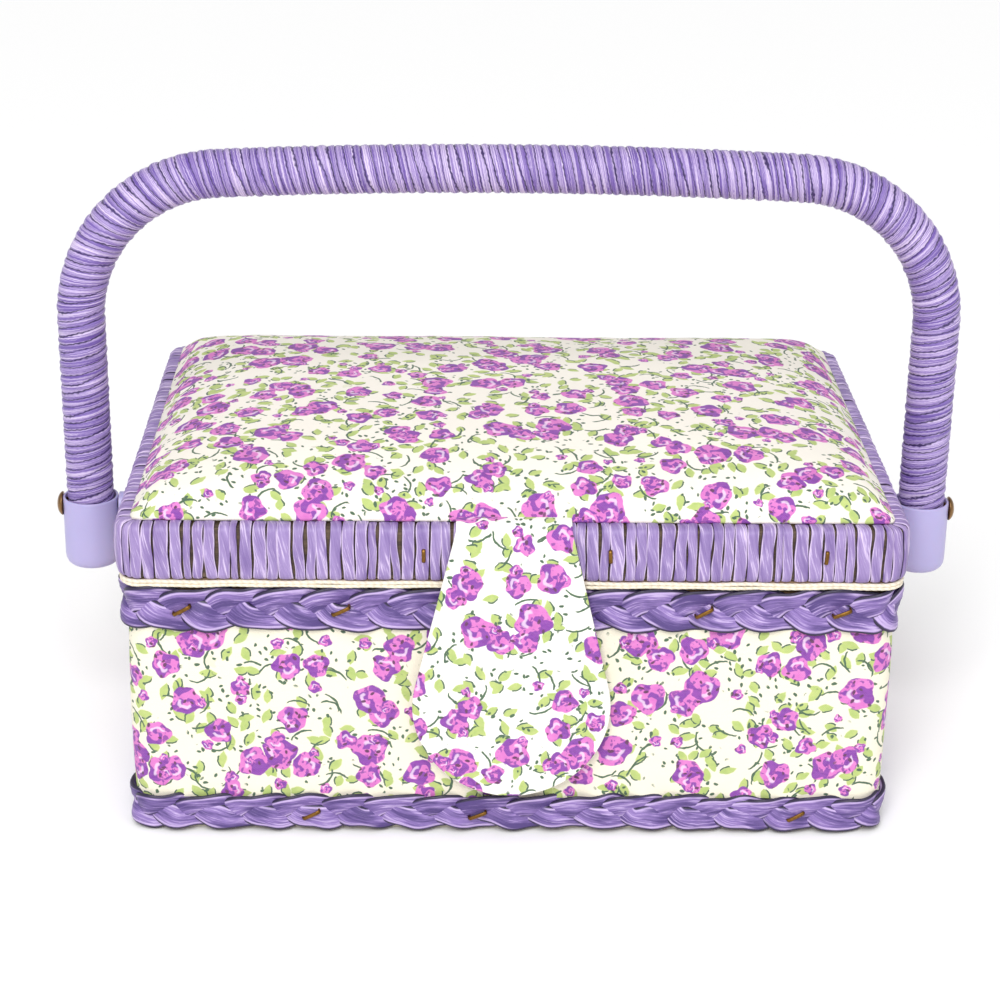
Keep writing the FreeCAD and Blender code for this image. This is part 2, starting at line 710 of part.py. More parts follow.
def screws(name, face, up):
    """The four screws of one row of leaves, heads outward."""
    made = []
    for side in ("-1", "1"):
        for offset in ("-screw_step", "screw_step"):
            tag = f"{name}_{len(made)}"
            x = f"{side} * hinge_place + {offset}"
            z = f"hinge_height + {up} * screw_drop"
            top = f"{face} + leaf_thick"
            shank = rod(tag + "_shank", "-y", "screw_radius", "screw_length", x=x, y=top, z=z)
            head = rod(tag + "_head", "y", "screw_head", "screw_head_thick", x=x, y=top, z=z,
                       tip="screw_head * 0.7")
            made.append(fused(tag, [shank, head]))
    node(group(name + "_group", made), name)


def make_hinges():
    inner = "(knuckle_half - knuckle_gap / 2)"
    outer = "(knuckle_half + knuckle_gap / 2)"
    chest_face = f"{WALL_Y} + rim_thick"
    chest_eyes = [("-hinge_half", f"-{outer}"), (outer, "hinge_half")]
    lid_eyes = [(f"-{inner}", inner)]
    both("hinge_body_leaf", lambda name, side: leaf(name, side, chest_face, chest_eyes, "-1"))
    both("hinge_lid_leaf", lambda name, side: leaf(name, side, LID_Y, lid_eyes, "1"))
    both("hinge_pin", lambda name, side: node(
        rod(name + "_wire", "x", "pin_radius", "2 * hinge_half",
            x=f"{side} * hinge_place - hinge_half", y="hinge_back", z="hinge_height"), name))
    screws("hinge_screws_body", chest_face, "-1")
    screws("hinge_screws_lid", LID_Y, "1")


# ---------------------------------------------------------------- trays

def tray(label, side, columns):
    """A moulded tray: columns gives the number of compartments in each column."""
    centre = f"{side} * (tray_between + tray_width) / 2"
    shell = plate(label + "_shell", ("tray_width", "tray_depth", "tray_round"),
                  "tray_low", "tray_top", x=centre)
    wide = f"((tray_width - {len(columns) + 1} * tray_wall) / {len(columns)})"
    rooms = []
    for column, rows in enumerate(columns):
        deep = f"((tray_depth - {rows + 1} * tray_wall) / {rows})"
        x = (f"{centre} - tray_width / 2 + tray_wall * {column + 1} + {wide} * {column + 0.5}")
        for row in range(rows):
            y = f"-tray_depth / 2 + tray_wall * {row + 1} + {deep} * {row + 0.5}"
            rooms.append(plate(f"{label}_room{column}{row}",
                               (wide, deep, "tray_round - tray_wall"),
                               "tray_low + tray_wall", "tray_top + 1", x=x, y=y))
    node(cut(label + "_moulded", shell, rooms), label)


# ---------------------------------------------------------------- whole box

make_chest()
make_staples()
make_lid_frame()
make_lid_filling()
make_flap()
make_handle()
make_hinges()
tray("tray_left", "-1", (2, 3))
tray("tray_right", "1", (1, 4))
doc.recompute()

for thing in doc.Objects:
    if "Invalid" in thing.State or "Error" in thing.State:
        raise RuntimeError(f"{thing.Label} failed: {thing.State}")
for thing in nodes:
    if thing.Shape.isNull() or not thing.Shape.isValid() or thing.Shape.Volume <= 0:
        raise RuntimeError(f"{thing.Label} has no valid shape")

os.makedirs("parts", exist_ok=True)
for thing in nodes:
    thing.Shape.exportStep(f"parts/{thing.Label}.step")
print(len(nodes), "nodes written")
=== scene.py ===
"""Sewing box with trays: the looks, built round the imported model.

Lengths in this file are millimetres until a mesh is made, and the frame is the model's own:
origin under the middle of the box, x to the right, y to the back, z up.
"""
import math

import bmesh
import bpy
import numpy as np
from mathutils import Matrix, Vector


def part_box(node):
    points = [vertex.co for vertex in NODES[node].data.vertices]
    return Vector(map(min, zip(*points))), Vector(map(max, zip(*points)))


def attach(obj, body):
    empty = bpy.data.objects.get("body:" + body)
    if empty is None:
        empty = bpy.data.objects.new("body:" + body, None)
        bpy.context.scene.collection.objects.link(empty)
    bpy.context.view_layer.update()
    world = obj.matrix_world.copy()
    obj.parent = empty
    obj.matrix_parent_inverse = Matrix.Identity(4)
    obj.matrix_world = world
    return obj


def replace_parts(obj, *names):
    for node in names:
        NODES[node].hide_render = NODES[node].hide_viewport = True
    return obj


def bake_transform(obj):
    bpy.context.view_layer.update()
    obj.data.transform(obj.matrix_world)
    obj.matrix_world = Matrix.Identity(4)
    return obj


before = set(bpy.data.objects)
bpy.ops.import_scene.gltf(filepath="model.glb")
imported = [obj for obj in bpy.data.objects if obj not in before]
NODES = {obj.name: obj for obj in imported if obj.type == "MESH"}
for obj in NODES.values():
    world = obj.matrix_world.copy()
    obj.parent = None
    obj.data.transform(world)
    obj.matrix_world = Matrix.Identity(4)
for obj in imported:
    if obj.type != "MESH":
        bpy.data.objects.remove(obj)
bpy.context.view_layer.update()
MM = 0.001
TAU = 2 * math.pi


def outer(corner, *nodes):
    """Plan, bottom and top of CAD nodes together, in mm.

    A plan is (half length, half depth, radius of its corners).
    """
    low = np.array([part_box(node)[0] for node in nodes]).min(0) / MM
    high = np.array([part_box(node)[1] for node in nodes]).max(0) / MM
    half_x, half_y, top = (round(float(side), 1) for side in high)
    return (half_x, half_y, corner), round(float(low[2]), 1), top


def middle_of(node):
    """The middle of a CAD node's box, in mm."""
    low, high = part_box(node)
    return [round(side, 1) for side in (low + high) / 2 / MM]


RAIL_OUT, RAIL_LOW, RAIL_HIGH = outer(8.0, "lid_wrap_rear", "lid_wrap_right")
RAIL_THICK = 7.0
GIMP_OUT = outer(7.0, "lid_gimp")[0]
RIM_OUT, RIM_LOW, RIM_HIGH = outer(10.0, "rim_braid")
FOOT_OUT, _, FOOT_HIGH = outer(9.5, "base_braid")
CLOTH_OUT = outer(8.0, "outer_fabric")[0]
DOME_OUT = outer(4.0, "lid_cover")[0]
LINING_OUT = outer(3.0, "inner_lining")[0]
LEG_X = middle_of("ferrule_right")[0]
HINGE_Z = middle_of("rivet_right")[2]      # the handle's pivots
HANDLE_TOP = 192.35                        # middle of the bar

DOME_RISE = 15.2
DOME_FULL = 2.5                            # 2 is an elliptical arch, more is fuller at the edges
CLOTH_LOW, CLOTH_HIGH = 12.0, 71.5         # its edges are hidden behind the braids
STRIP_PITCH = 3.7                          # from one strip on the lid to the next
TURN_PITCH = 2.7                           # from one turn on the handle to the next
# middles of the staples' crowns
BRAID_STAPLES = [(-52, -85.4, 77), (58, -85.4, 77), (100, -85.4, 77), (-100, -85.4, 77),
                 (-62, -84.6, 6.5), (-10, -84.6, 6.5), (90, -84.6, 6.5)]
LID_STAPLES = [(-27, -85.75, 95.6), (29, -85.75, 95.6), (94, -85.75, 95.6)]


# ---------------------------------------------------------------- meshes

def skin(name, patches, material, body, merge=0.004):
    """One mesh object from grids of points.

    A patch is (points, coords, close_rows, close_columns). A closed direction has one more row
    or column of coords than of points, so that they run on over the joining face.
    """
    corners, faces, tags, start = [], [], [], 0
    for points, coords, close_rows, close_columns in patches:
        rows, columns = points.shape[:2]
        i, j = np.meshgrid(np.arange(rows if close_rows else rows - 1),
                           np.arange(columns if close_columns else columns - 1), indexing="ij")
        i, j = i.ravel(), j.ravel()
        ring = [(i, j), (i, j + 1), (i + 1, j + 1), (i + 1, j)]
        faces.append(np.stack([start + (a % rows) * columns + b % columns for a, b in ring], 1))
        tags.append(np.stack([coords[a, b] for a, b in ring], 1))
        corners.append(points.reshape(-1, 3))
        start += rows * columns
    mesh = bpy.data.meshes.new(name)
    mesh.from_pydata((np.concatenate(corners) * MM).tolist(), [],
                     np.concatenate(faces).tolist())
    layer = mesh.attributes.new("flat", "FLOAT_VECTOR", "CORNER")
    layer.data.foreach_set("vector", np.concatenate(tags).astype(np.float32).ravel())
    work = bmesh.new()
    work.from_mesh(mesh)
    bmesh.ops.remove_doubles(work, verts=work.verts, dist=merge * MM)
    bmesh.ops.recalc_face_normals(work, faces=work.faces)
    work.to_mesh(mesh)
    work.free()
    mesh.polygons.foreach_set("use_smooth", [True] * len(mesh.polygons))
    mesh.materials.append(material)
    thing = bpy.data.objects.new(name, mesh)
    bpy.context.scene.collection.objects.link(thing)
    if body:
        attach(thing, body)
    return thing


def ripple(t, seed, low, high, count=5):
    """A smooth irregular wave of about -1 to 1 that repeats after t grows by 1."""
    rng = np.random.default_rng(seed)
    total = np.zeros_like(np.asarray(t, float))
    for _ in range(count):
        total += np.sin(TAU * (rng.integers(low, high + 1) * t + rng.random()))
    return total / math.sqrt(count)


def outline(s, half_x, half_y, radius):
    """Point and outward normal at distance s along a rounded rectangle, and its whole length.

    It starts at the middle of the back and runs counter-clockwise seen from above.
    """
    a, b, bend = half_x - radius, half_y - radius, radius * math.pi / 2
    marks = np.cumsum([0, a, bend, 2 * b, bend, 2 * a, bend, 2 * b, bend, a])
    angle = np.radians(np.interp(s, marks, [90, 90, 180, 180, 270, 270, 360, 360, 450, 450]))
    middle_x = np.interp(s, marks, [0, -a, -a, -a, -a, a, a, a, a, 0])
    middle_y = np.interp(s, marks, [b, b, b, -b, -b, -b, -b, b, b, b])
    out = np.stack([np.cos(angle), np.sin(angle)], -1)
    return np.stack([middle_x, middle_y], -1) + radius * out, out, marks[-1]


def length_of(half_x, half_y, radius):
    return outline(0.0, half_x, half_y, radius)[2]


def unit(v):
    return v / np.linalg.norm(v, axis=-1, keepdims=True)


def swept(centre, side, out, half_width, half_thick, around, coords, square=0.75, ribs=0.0):
    """A closed tube: at each centre an oval section on the side and out directions."""
    turn = np.arange(around) / around * TAU
    across = np.sign(np.cos(turn)) * np.abs(np.cos(turn)) ** square
    lift = np.sign(np.sin(turn)) * np.abs(np.sin(turn)) ** square
    lift = lift + ribs * np.cos(across * 14.0) * np.abs(lift)
    points = (centre[:, None] + side[:, None] * (half_width[:, None] * across)[..., None]
              + out[:, None] * (half_thick[:, None] * lift)[..., None])
    tags = np.zeros((coords.shape[0], around + 1, 3))
    tags[..., 0] = coords[:, None, 0]
    tags[..., 1] = np.append(across, across[0])
    tags[..., 2] = coords[:, None, 1]
    return points, tags


# ---------------------------------------------------------------- shader nodes

class Wire:
    """A node output that arithmetic makes more nodes from."""

    def __init__(self, net, socket):
        self.net, self.socket = net, socket

    def __add__(self, other):
        return self.net.math("ADD", self, other)

    def __sub__(self, other):
        return self.net.math("SUBTRACT", self, other)

    def __rsub__(self, other):
        return self.net.math("SUBTRACT", other, self)

    def __mul__(self, other):
        return self.net.math("MULTIPLY", self, other)

    def __truediv__(self, other):
        return self.net.math("DIVIDE", self, other)

    __radd__, __rmul__ = __add__, __mul__


class Net:
    """The nodes of one material."""

    def __init__(self, name):
        self.material = bpy.data.materials.new(name)
        self.material.use_nodes = True
        self.tree = self.material.node_tree
        self.tree.nodes.clear()

    def node(self, kind, **settings):
        made = self.tree.nodes.new("ShaderNode" + kind)
        for key, value in settings.items():
            setattr(made, key, value)
        return made

    def feed(self, socket, value):
        if isinstance(value, Wire):
            self.tree.links.new(value.socket, socket)
        else:
            socket.default_value = value

    def math(self, operation, *values, clamp=False):
        made = self.node("Math", operation=operation, use_clamp=clamp)
        for socket, value in zip(made.inputs, values):
            self.feed(socket, value)
        return Wire(self, made.outputs[0])

    def edge(self, value, soft):
        """0 where the value is negative, 1 where it is positive, with a soft step between."""
        return self.math("MULTIPLY_ADD", value, 1 / soft, 0.5, clamp=True)

    def join(self, x, y, z=0.0):
        made = self.node("CombineXYZ")
        for socket, value in zip(made.inputs, (x, y, z)):
            self.feed(socket, value)
        return Wire(self, made.outputs[0])

    def split(self, vector):
        made = self.node("SeparateXYZ")
        self.feed(made.inputs[0], vector)
        return [Wire(self, socket) for socket in made.outputs]

    def mix(self, share, first, second):
        made = self.node("Mix", data_type="RGBA")
        for socket, value in zip((made.inputs[0], made.inputs[6], made.inputs[7]),
                                 (share, first, second)):
            self.feed(socket, value)
        return Wire(self, made.outputs[2])

    def noise(self, vector, scale, detail=2.0, rough=0.5):
        made = self.node("TexNoise")
        self.feed(made.inputs["Vector"], vector)
        made.inputs["Scale"].default_value = scale
        made.inputs["Detail"].default_value = detail
        made.inputs["Roughness"].default_value = rough
        return Wire(self, made.outputs[0])

    def chance(self, value):
        """A random number from 0 to 1 for each value."""
        made = self.node("TexWhiteNoise", noise_dimensions="1D")
        self.feed(made.inputs["W"], value)
        return Wire(self, made.outputs["Value"])

    def flat(self):
        """The coordinates that skin() stored: millimetres on the flat cloth or along a strand."""
        return self.split(Wire(self, self.node("Attribute", attribute_name="flat")
                               .outputs["Vector"]))

    def place(self):
        """Position on the object, in metres."""
        return Wire(self, self.node("TexCoord").outputs["Object"])

    def finish(self, colour, rough=0.5, height=None, depth=0.1, **inputs):
        shader = self.node("BsdfPrincipled")
        self.feed(shader.inputs["Base Color"], colour)
        self.feed(shader.inputs["Roughness"], rough)
        for key, value in inputs.items():
            self.feed(shader.inputs[key.replace("_", " ")], value)
        if height is not None:
            bump = self.node("Bump")
            bump.inputs["Strength"].default_value = 1.0
            bump.inputs["Distance"].default_value = depth * MM
            self.feed(bump.inputs["Height"], height)
            self.tree.links.new(bump.outputs[0], shader.inputs["Normal"])
        out = self.node("OutputMaterial")
        self.tree.links.new(shader.outputs[0], out.inputs[0])
        return self.material


def rgb(red, green, blue):
    """A colour given as it looks on a screen, 0 to 255, for a shader."""
    line = [c / 255 for c in (red, green, blue)]
    return (*(c / 12.92 if c < 0.04045 else ((c + 0.055) / 1.055) ** 2.4 for c in line), 1.0)


# ---------------------------------------------------------------- printed cotton

def scatter(net, x, y, size, shift, jitter=0.85):
    """Position in the nearest of many scattered motifs, each turned its own way, in mm, and two
    random numbers of that motif."""
    u, v = x / size + shift, y / size + shift * 0.63
    cells = net.node("TexVoronoi", voronoi_dimensions="2D")
    net.feed(cells.inputs["Vector"], net.join(u, v))
    cells.inputs["Scale"].default_value = 1.0
    cells.inputs["Randomness"].default_value = jitter
    centre_u, centre_v, _ = net.split(Wire(net, cells.outputs["Position"]))
    first, second, third = net.split(Wire(net, cells.outputs["Color"]))
    across, along = (u - centre_u) * size, (v - centre_v) * size
    turn = first * TAU
    cosine, sine = net.math("COSINE", turn), net.math("SINE", turn)
    return (across * cosine + along * sine, along * cosine - across * sine, second, third)


def reach(net, x, y):
    return net.math("SQRT", x * x + y * y)


def rose(net, x, y, size, shift, small, large):
    """Cover, violet petals, deep marks and pale fleck of a scatter of loosely painted roses."""
    px, py, one, two = scatter(net, x, y, size, shift)
    away = reach(net, px, py)
    angle = net.math("ARCTAN2", py, px)
    rim = (one * (large - small) + small
           + net.math("SINE", angle * 5.0 + two * 9.0) * (0.06 * large)
           + net.math("SINE", angle * 3.0 + one * 17.0) * (0.08 * large))
    cover = net.edge(rim - away, 0.3)
    share = away / rim
    grain = net.join(px, py, two * 40.0)
    swirl = net.math("SINE", angle * 2.0 + share * 5.0 + two * 12.0)
    petals = net.edge(swirl * 0.16 + net.noise(grain, 1.5 / large, 1.0) - 0.52
                      + py * (0.07 / large), 0.045)
    marks = net.edge(net.noise(grain, 3.4 / large, 1.0) - 0.6, 0.04) * net.edge(0.97 - share, 0.1)
    arc = net.edge(0.1 - net.math("ABSOLUTE", share - 0.5), 0.08)
    fleck = arc * net.edge(net.math("SINE", angle + two * 20.0) - 0.35, 0.2)
    return cover, petals, marks, fleck


def leaf(net, x, y, size, shift, share):
    """Cover of a scatter of pointed leaves, and of the pen line down one side of each."""
    px, py, one, two = scatter(net, x, y, size, shift)
    there = net.edge(share - two, 0.01)
    long = one * 0.9 + 2.2
    reached = px / long
    belly = (1.0 - reached * reached) * 1.3
    line = net.edge(0.27 - net.math("ABSOLUTE", py + belly * 1.05 + 0.12), 0.14)
    ends = net.edge(0.62 - net.math("ABSOLUTE", reached - 0.22), 0.1)
    return net.edge(belly - net.math("ABSOLUTE", py), 0.4) * there, line * ends * there


def stem(net, x, y, size, shift, share):
    """Cover of a scatter of short curved stems."""
    px, py, one, two = scatter(net, x, y, size, shift)
    bend = one * 3.0 + 4.2
    off = net.math("ABSOLUTE", reach(net, px, py + bend) - bend)
    width = 0.36 - net.math("ABSOLUTE", px) * 0.03
    return net.edge(width - off, 0.16) * net.edge(3.6 - net.math("ABSOLUTE", px), 0.3) \
        * net.edge(py + 4.0, 0.4) * net.edge(share - two, 0.01)


def printed(name, ground, seed):
    """Cotton printed with small roses, sprigs and dots."""
    net = Net(name)
    x, y, _ = net.flat()
    drift = net.join(x, y, seed)
    wander = net.node("TexNoise")
    net.feed(wander.inputs["Vector"], drift)
    wander.inputs["Scale"].default_value = 0.4
    wander.inputs["Detail"].default_value = 2.0
    dx, dy, _ = net.split(Wire(net, wander.outputs["Color"]))
    x, y = x + dx * 1.1 + seed * 7.0, y + dy * 1.1 + seed * 3.0
    tone = net.noise(net.join(x, y, 5.0), 0.33, 2.0)

    colour = ground
    green = net.mix(tone, rgb(202, 214, 132), rgb(152, 182, 94))
    pen = net.mix(tone, rgb(72, 110, 76), rgb(48, 82, 66))
    for number, (size, share) in enumerate(((8.2, 0.72), (9.1, 0.68), (10.6, 0.68))):
        cover, line = leaf(net, x, y, size, 2.3 + 5.1 * number, share)
        colour = net.mix(cover, colour, green)
        colour = net.mix(line, colour, pen)
    for number, size in enumerate((12.5, 15.0)):
        colour = net.mix(stem(net, x, y, size, 31.0 + 3.7 * number, 0.62), colour, pen)
    crowd = net.edge(net.noise(net.join(x, y, 9.0), 0.16, 0.0) - 0.53, 0.04)
    px, py, one, two = scatter(net, x, y, 2.9, 47.0)
    dot = net.edge(one * 0.16 + 0.36 - reach(net, px * 0.6, py), 0.16)
    colour = net.mix(dot * crowd * net.edge(0.75 - two, 0.01), colour, pen)
    pink = net.mix(tone, rgb(228, 136, 206), rgb(202, 92, 184))
    violet = net.mix(tone, rgb(152, 66, 172), rgb(106, 44, 154))
    for number, (size, small, large) in enumerate(((20.5, 3.9, 5.6), (19.5, 2.9, 4.8),
                                                   (16.5, 1.3, 2.3))):
        cover, petals, marks, fleck = rose(net, x, y, size, 13.0 + 4.9 * number, small, large)
        bloom = net.mix(petals, pink, violet)
        bloom = net.mix(marks * 0.8, bloom, rgb(120, 44, 150))
        bloom = net.mix(fleck * 0.6, bloom, rgb(252, 232, 250))
        bloom = net.mix(dot * net.edge(0.45 - two, 0.01), bloom, rgb(92, 40, 88))
        colour = net.mix(cover, colour, bloom)
    weave = net.math("SINE", x * (TAU / 0.62)) * net.math("SINE", y * (TAU / 0.62))
    slub = net.noise(net.join(x * 0.2, y * 2.0), 1.0, 2.0)
    colour = net.mix(slub * 0.12 + weave * 0.05, colour, rgb(222, 206, 200))
    return net.finish(colour, 0.82, weave * 0.5 + slub, 0.07, Specular_IOR_Level=0.25,
                      Sheen_Weight=0.12)


# ---------------------------------------------------------------- raffia and other materials

def raffia(name, dark, middle, painted_highlight, crevice_shade, spread, slope, contrast, edge_highlight_strength=0.8, rim=0.95,
           glint_threshold=0.84, wound=False, rough=0.42):
    """Flat dyed raffia: fibres run along each strand, some fibres and a line along each edge get a
    painted highlight, and the crevice at each edge gets painted shade.

    spread is how many fibres lie across a strand, slope how far they stray sideways, the keyword
    after contrast how bright the painted highlight along the edges is, and rim where the painted
    shade in the crevice at an edge begins. The last two colours are those of the painted
    highlights and of the painted crevice shade. A wound strand finds its own edges from the turns
    of a helix.
    """
    net = Net(name)
    along, across, number = net.flat()
    if wound:
        number = net.math("FLOOR", across)
        across = net.math("FRACT", across) * 2.0 - 1.0
    side = net.math("ABSOLUTE", across)
    lane = across * spread + along * slope
    fibres = net.noise(net.join(along * 0.09, lane, number * 3.7), 1.5, 4.0, 0.6)
    coarse = net.noise(net.join(along * 0.07, lane * 0.3, number * 1.9 + 4.0), 1.0, 1.0)
    own = net.chance(number)
    tone = net.math("ADD", (fibres - 0.5) * contrast + (coarse - 0.5) * (contrast * 1.1),
                    own * 0.3 + 0.4, clamp=True)
    colour = net.mix(tone, dark, middle)
    # painted highlight: the brightest fibres are mixed towards a pale colour
    painted_glint = net.edge(fibres + coarse * 0.4 - glint_threshold, 0.14)
    colour = net.mix(painted_glint * 0.75, colour, painted_highlight)
    if wound:
        # painted shade in the groove between two turns
        colour = net.mix(net.edge(side + coarse * 0.5 - 1.1, 0.2), colour, crevice_shade)
    else:
        # painted highlight: a pale line just inside each edge of a strip
        edge_highlight_mask = net.edge(0.07 - net.math("ABSOLUTE", side - rim + 0.1), 0.08)
        colour = net.mix(edge_highlight_mask * net.edge(coarse - 0.42, 0.12) * edge_highlight_strength, colour, painted_highlight)
        # painted shade in the crevice along each edge of a strip
        colour = net.mix(net.edge(side - rim, 0.08), colour, crevice_shade)
    return net.finish(colour, rough, fibres + coarse * 0.4, 0.3, Specular_IOR_Level=0.6)


def satin(name, colour, shade):
    net = Net(name)
    spot = net.place()
    cloudy = net.noise(spot, 60.0, 3.0)
    grain = net.noise(spot, 2600.0, 1.0)
    return net.finish(net.mix(cloudy, colour, shade), 0.36, grain + cloudy, 0.05,
                      Sheen_Weight=0.2)


def velvet(name, colour, shade):
    net = Net(name)
    spot = net.place()
    pile = net.noise(spot, 1900.0, 3.0)
    cloudy = net.noise(spot, 90.0, 2.0)
    return net.finish(net.mix(cloudy, colour, shade), 0.9, pile, 0.25, Sheen_Weight=0.6)


def timber(name, pale, dark):
    net = Net(name)
    x, y, z = net.split(net.place())
    grain = net.noise(net.join(x, y * 14, z * 14), 55.0, 5.0, 0.6)
    pores = net.noise(net.join(x * 3, y * 60, z * 60), 60.0, 2.0)
    return net.finish(net.mix(net.edge(grain - 0.5, 0.35), pale, dark), 0.72,
                      grain + pores * 0.5, 0.12)


def paper(name, colour, shade):
    net = Net(name)
    spot = net.place()
    pulp = net.noise(spot, 900.0, 4.0, 0.7)
    return net.finish(net.mix(net.edge(pulp - 0.55, 0.2), colour, shade), 0.88, pulp, 0.06)


def moulded(name, colour, shade, rough=0.34, **more):
    """Moulded plastic with a fine spark texture and slight unevenness of colour."""
    net = Net(name)
    spot = net.place()
    fine = net.noise(spot, 3200.0, 2.0)
    broad = net.noise(spot, 35.0, 2.0)
    return net.finish(net.mix(broad, colour, shade), broad * 0.1 + (rough - 0.05), fine, 0.02,
                      **more)


def metal(name, colour, shade, rough=0.26):
    net = Net(name)
    spot = net.place()
    worn = net.noise(spot, 420.0, 4.0, 0.65)
    return net.finish(net.mix(net.edge(worn - 0.5, 0.3) * 0.45, colour, shade),
                      worn * 0.2 + rough - 0.06, worn, 0.03, Metallic=1.0)


def twisted_cotton(name):
    net = Net(name)
    along, across, _ = net.flat()
    ply = net.math("SINE", along * (TAU / 2.2) + across * TAU)
    fuzz = net.noise(net.join(along, across * 3.0), 1.4, 3.0)
    colour = net.mix(net.edge(ply * 0.3 + fuzz - 0.36, 0.6), rgb(222, 208, 186),
                     rgb(242, 232, 212))
    return net.finish(colour, 0.9, ply * 0.5 + fuzz * 0.5, 0.15, Sheen_Weight=0.2)


IVORY = rgb(242, 237, 216)
MATERIALS = {
    "print_body": printed("print_body", IVORY, 1.0),
    "print_lid": printed("print_lid", rgb(245, 240, 228), 2.0),
    "print_flap": printed("print_flap", rgb(250, 250, 240), 3.0),
    # raffia colours: dark and middle are the strand's own tones, then a pale one for painted
    # highlights and a dark one for painted crevice shade
    "raffia_lid": raffia("raffia_lid", rgb(122, 98, 158), rgb(168, 146, 198),
                         rgb(230, 212, 240), rgb(52, 38, 72), spread=2.6, slope=0.3,
                         contrast=1.5),
    "raffia_plait": raffia("raffia_plait", rgb(76, 54, 120), rgb(136, 110, 176),
                           rgb(206, 184, 228), rgb(30, 18, 54), spread=5.0, slope=0.13,
                           contrast=3.2, edge_highlight_strength=0.75, rim=0.84),
    "raffia_winding": raffia("raffia_winding", rgb(106, 78, 164), rgb(168, 144, 207),
                             rgb(240, 224, 250), rgb(52, 32, 92), spread=2.6, slope=0.3,
                             contrast=2.4, glint_threshold=0.755, wound=True, rough=0.3),
    "satin": satin("satin", rgb(232, 222, 244), rgb(206, 190, 228)),
    "velvet": velvet("velvet", rgb(150, 104, 176), rgb(116, 74, 148)),
    "gimp": twisted_cotton("gimp"),
    # the brown band behind the gimp cords; where it shows above them it is painted shade
    "backing_band_painted_shade": timber("backing_band_painted_shade", rgb(150, 122, 92), rgb(96, 76, 56)),
    "ferrule": moulded("ferrule", rgb(181, 174, 216), rgb(172, 164, 210), 0.4,
                       Subsurface_Weight=0.1, Subsurface_Scale=0.004),
}
BY_SLOT = {
    "board_wood": timber("board_wood", rgb(176, 142, 104), rgb(138, 106, 74)),
    "rail_wood": timber("rail_wood", rgb(104, 86, 68), rgb(62, 50, 40)),
    "base_paper": paper("base_paper", rgb(226, 220, 204), rgb(206, 198, 180)),
    "tray_plastic": moulded("tray_plastic", rgb(224, 214, 242), rgb(212, 200, 234), 0.3,
                            Subsurface_Weight=0.2, Subsurface_Scale=0.006),
    "core_plastic": moulded("core_plastic", rgb(216, 210, 226), rgb(202, 196, 214), 0.45),
    "ferrule_plastic": MATERIALS["ferrule"],
    "rivet_brass": metal("rivet_brass", rgb(150, 116, 76), rgb(104, 78, 52)),
    "brass": metal("brass", rgb(206, 168, 92), rgb(158, 118, 60)),
    "brass_wire": metal("brass_wire", rgb(138, 100, 48), rgb(62, 44, 28), 0.36),
    "steel": metal("steel", rgb(196, 196, 200), rgb(150, 150, 156), 0.28),
    "card": paper("card", rgb(196, 178, 146), rgb(170, 152, 120)),
    "foam": paper("foam", rgb(240, 236, 214), rgb(228, 222, 196)),
}


def dress_cad_nodes():
    """Gives every CAD node that stays the procedural material of its slot."""
    for thing in NODES.values():
        for holder in thing.material_slots:
            label = holder.material.name.split(".")[0] if holder.material else ""
            holder.material = BY_SLOT.get(label, BY_SLOT["board_wood"])


# ---------------------------------------------------------------- plaited braids

def plait(name, node, plan, low, high, periods, width, seed, loose):
    """A flat three-strand plait laid round the box and joined behind it.

    Each strand stays at one edge, then crosses to the other over one strand and under the next.
    """
    total = length_of(*plan)
    count = periods * 36
    snap = 1.5                             # more is a straighter edge and a steeper crossing
    s = np.arange(count + 1) / count * total
    t = s / total
    patches = []
    for strand in range(3):
        phase = TAU * (periods * t + strand / 3) + 0.22 * loose * ripple(t, seed + 7, 20, 60)
        sway = (high - low - width) / 2 + loose * 0.3 * ripple(t, seed + strand, 9, 40)
        point, out, _ = outline(s, *plan)
        # below the outer face: it rises and sinks twice for each wave, over and under the others
        deep = 1.9 - 1.1 * np.sin(2 * phase) + 0.12 * ripple(t, seed + 11 + strand, 15, 70)
        centre = np.zeros((count + 1, 3))
        centre[:, :2] = point - out * deep[:, None]
        wave = np.tanh(snap * np.sin(phase)) / math.tanh(snap)
        centre[:, 2] = (low + high) / 2 + sway * wave
        normal = np.concatenate([out, np.zeros((count + 1, 1))], 1)
        ahead = unit(np.roll(centre[:-1], -1, 0) - np.roll(centre[:-1], 1, 0))
        ahead = np.concatenate([ahead, ahead[:1]])
        side = unit(np.cross(normal, ahead))
        tilt = -0.3 * np.sin(phase)
        face = unit(normal + side * tilt[:, None])
        side = unit(np.cross(face, ahead))
        half = width / 2 * (1 + 0.1 * ripple(t, seed + 21 + strand, 20, 80))
        thick = 1.05 * (1 + 0.1 * ripple(t, seed + 31 + strand, 20, 80))
        coords = np.stack([s * 1.1, np.full(count + 1, strand + seed * 1.0)], 1)
        points, tags = swept(centre, side, face, half, thick, 24, coords, square=0.95,
                             ribs=0.1)
        patches.append((points, tags, False, True))
    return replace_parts(skin(name, patches, MATERIALS["raffia_plait"], "chest",
                            0.0), node)


# ---------------------------------------------------------------- lid strips

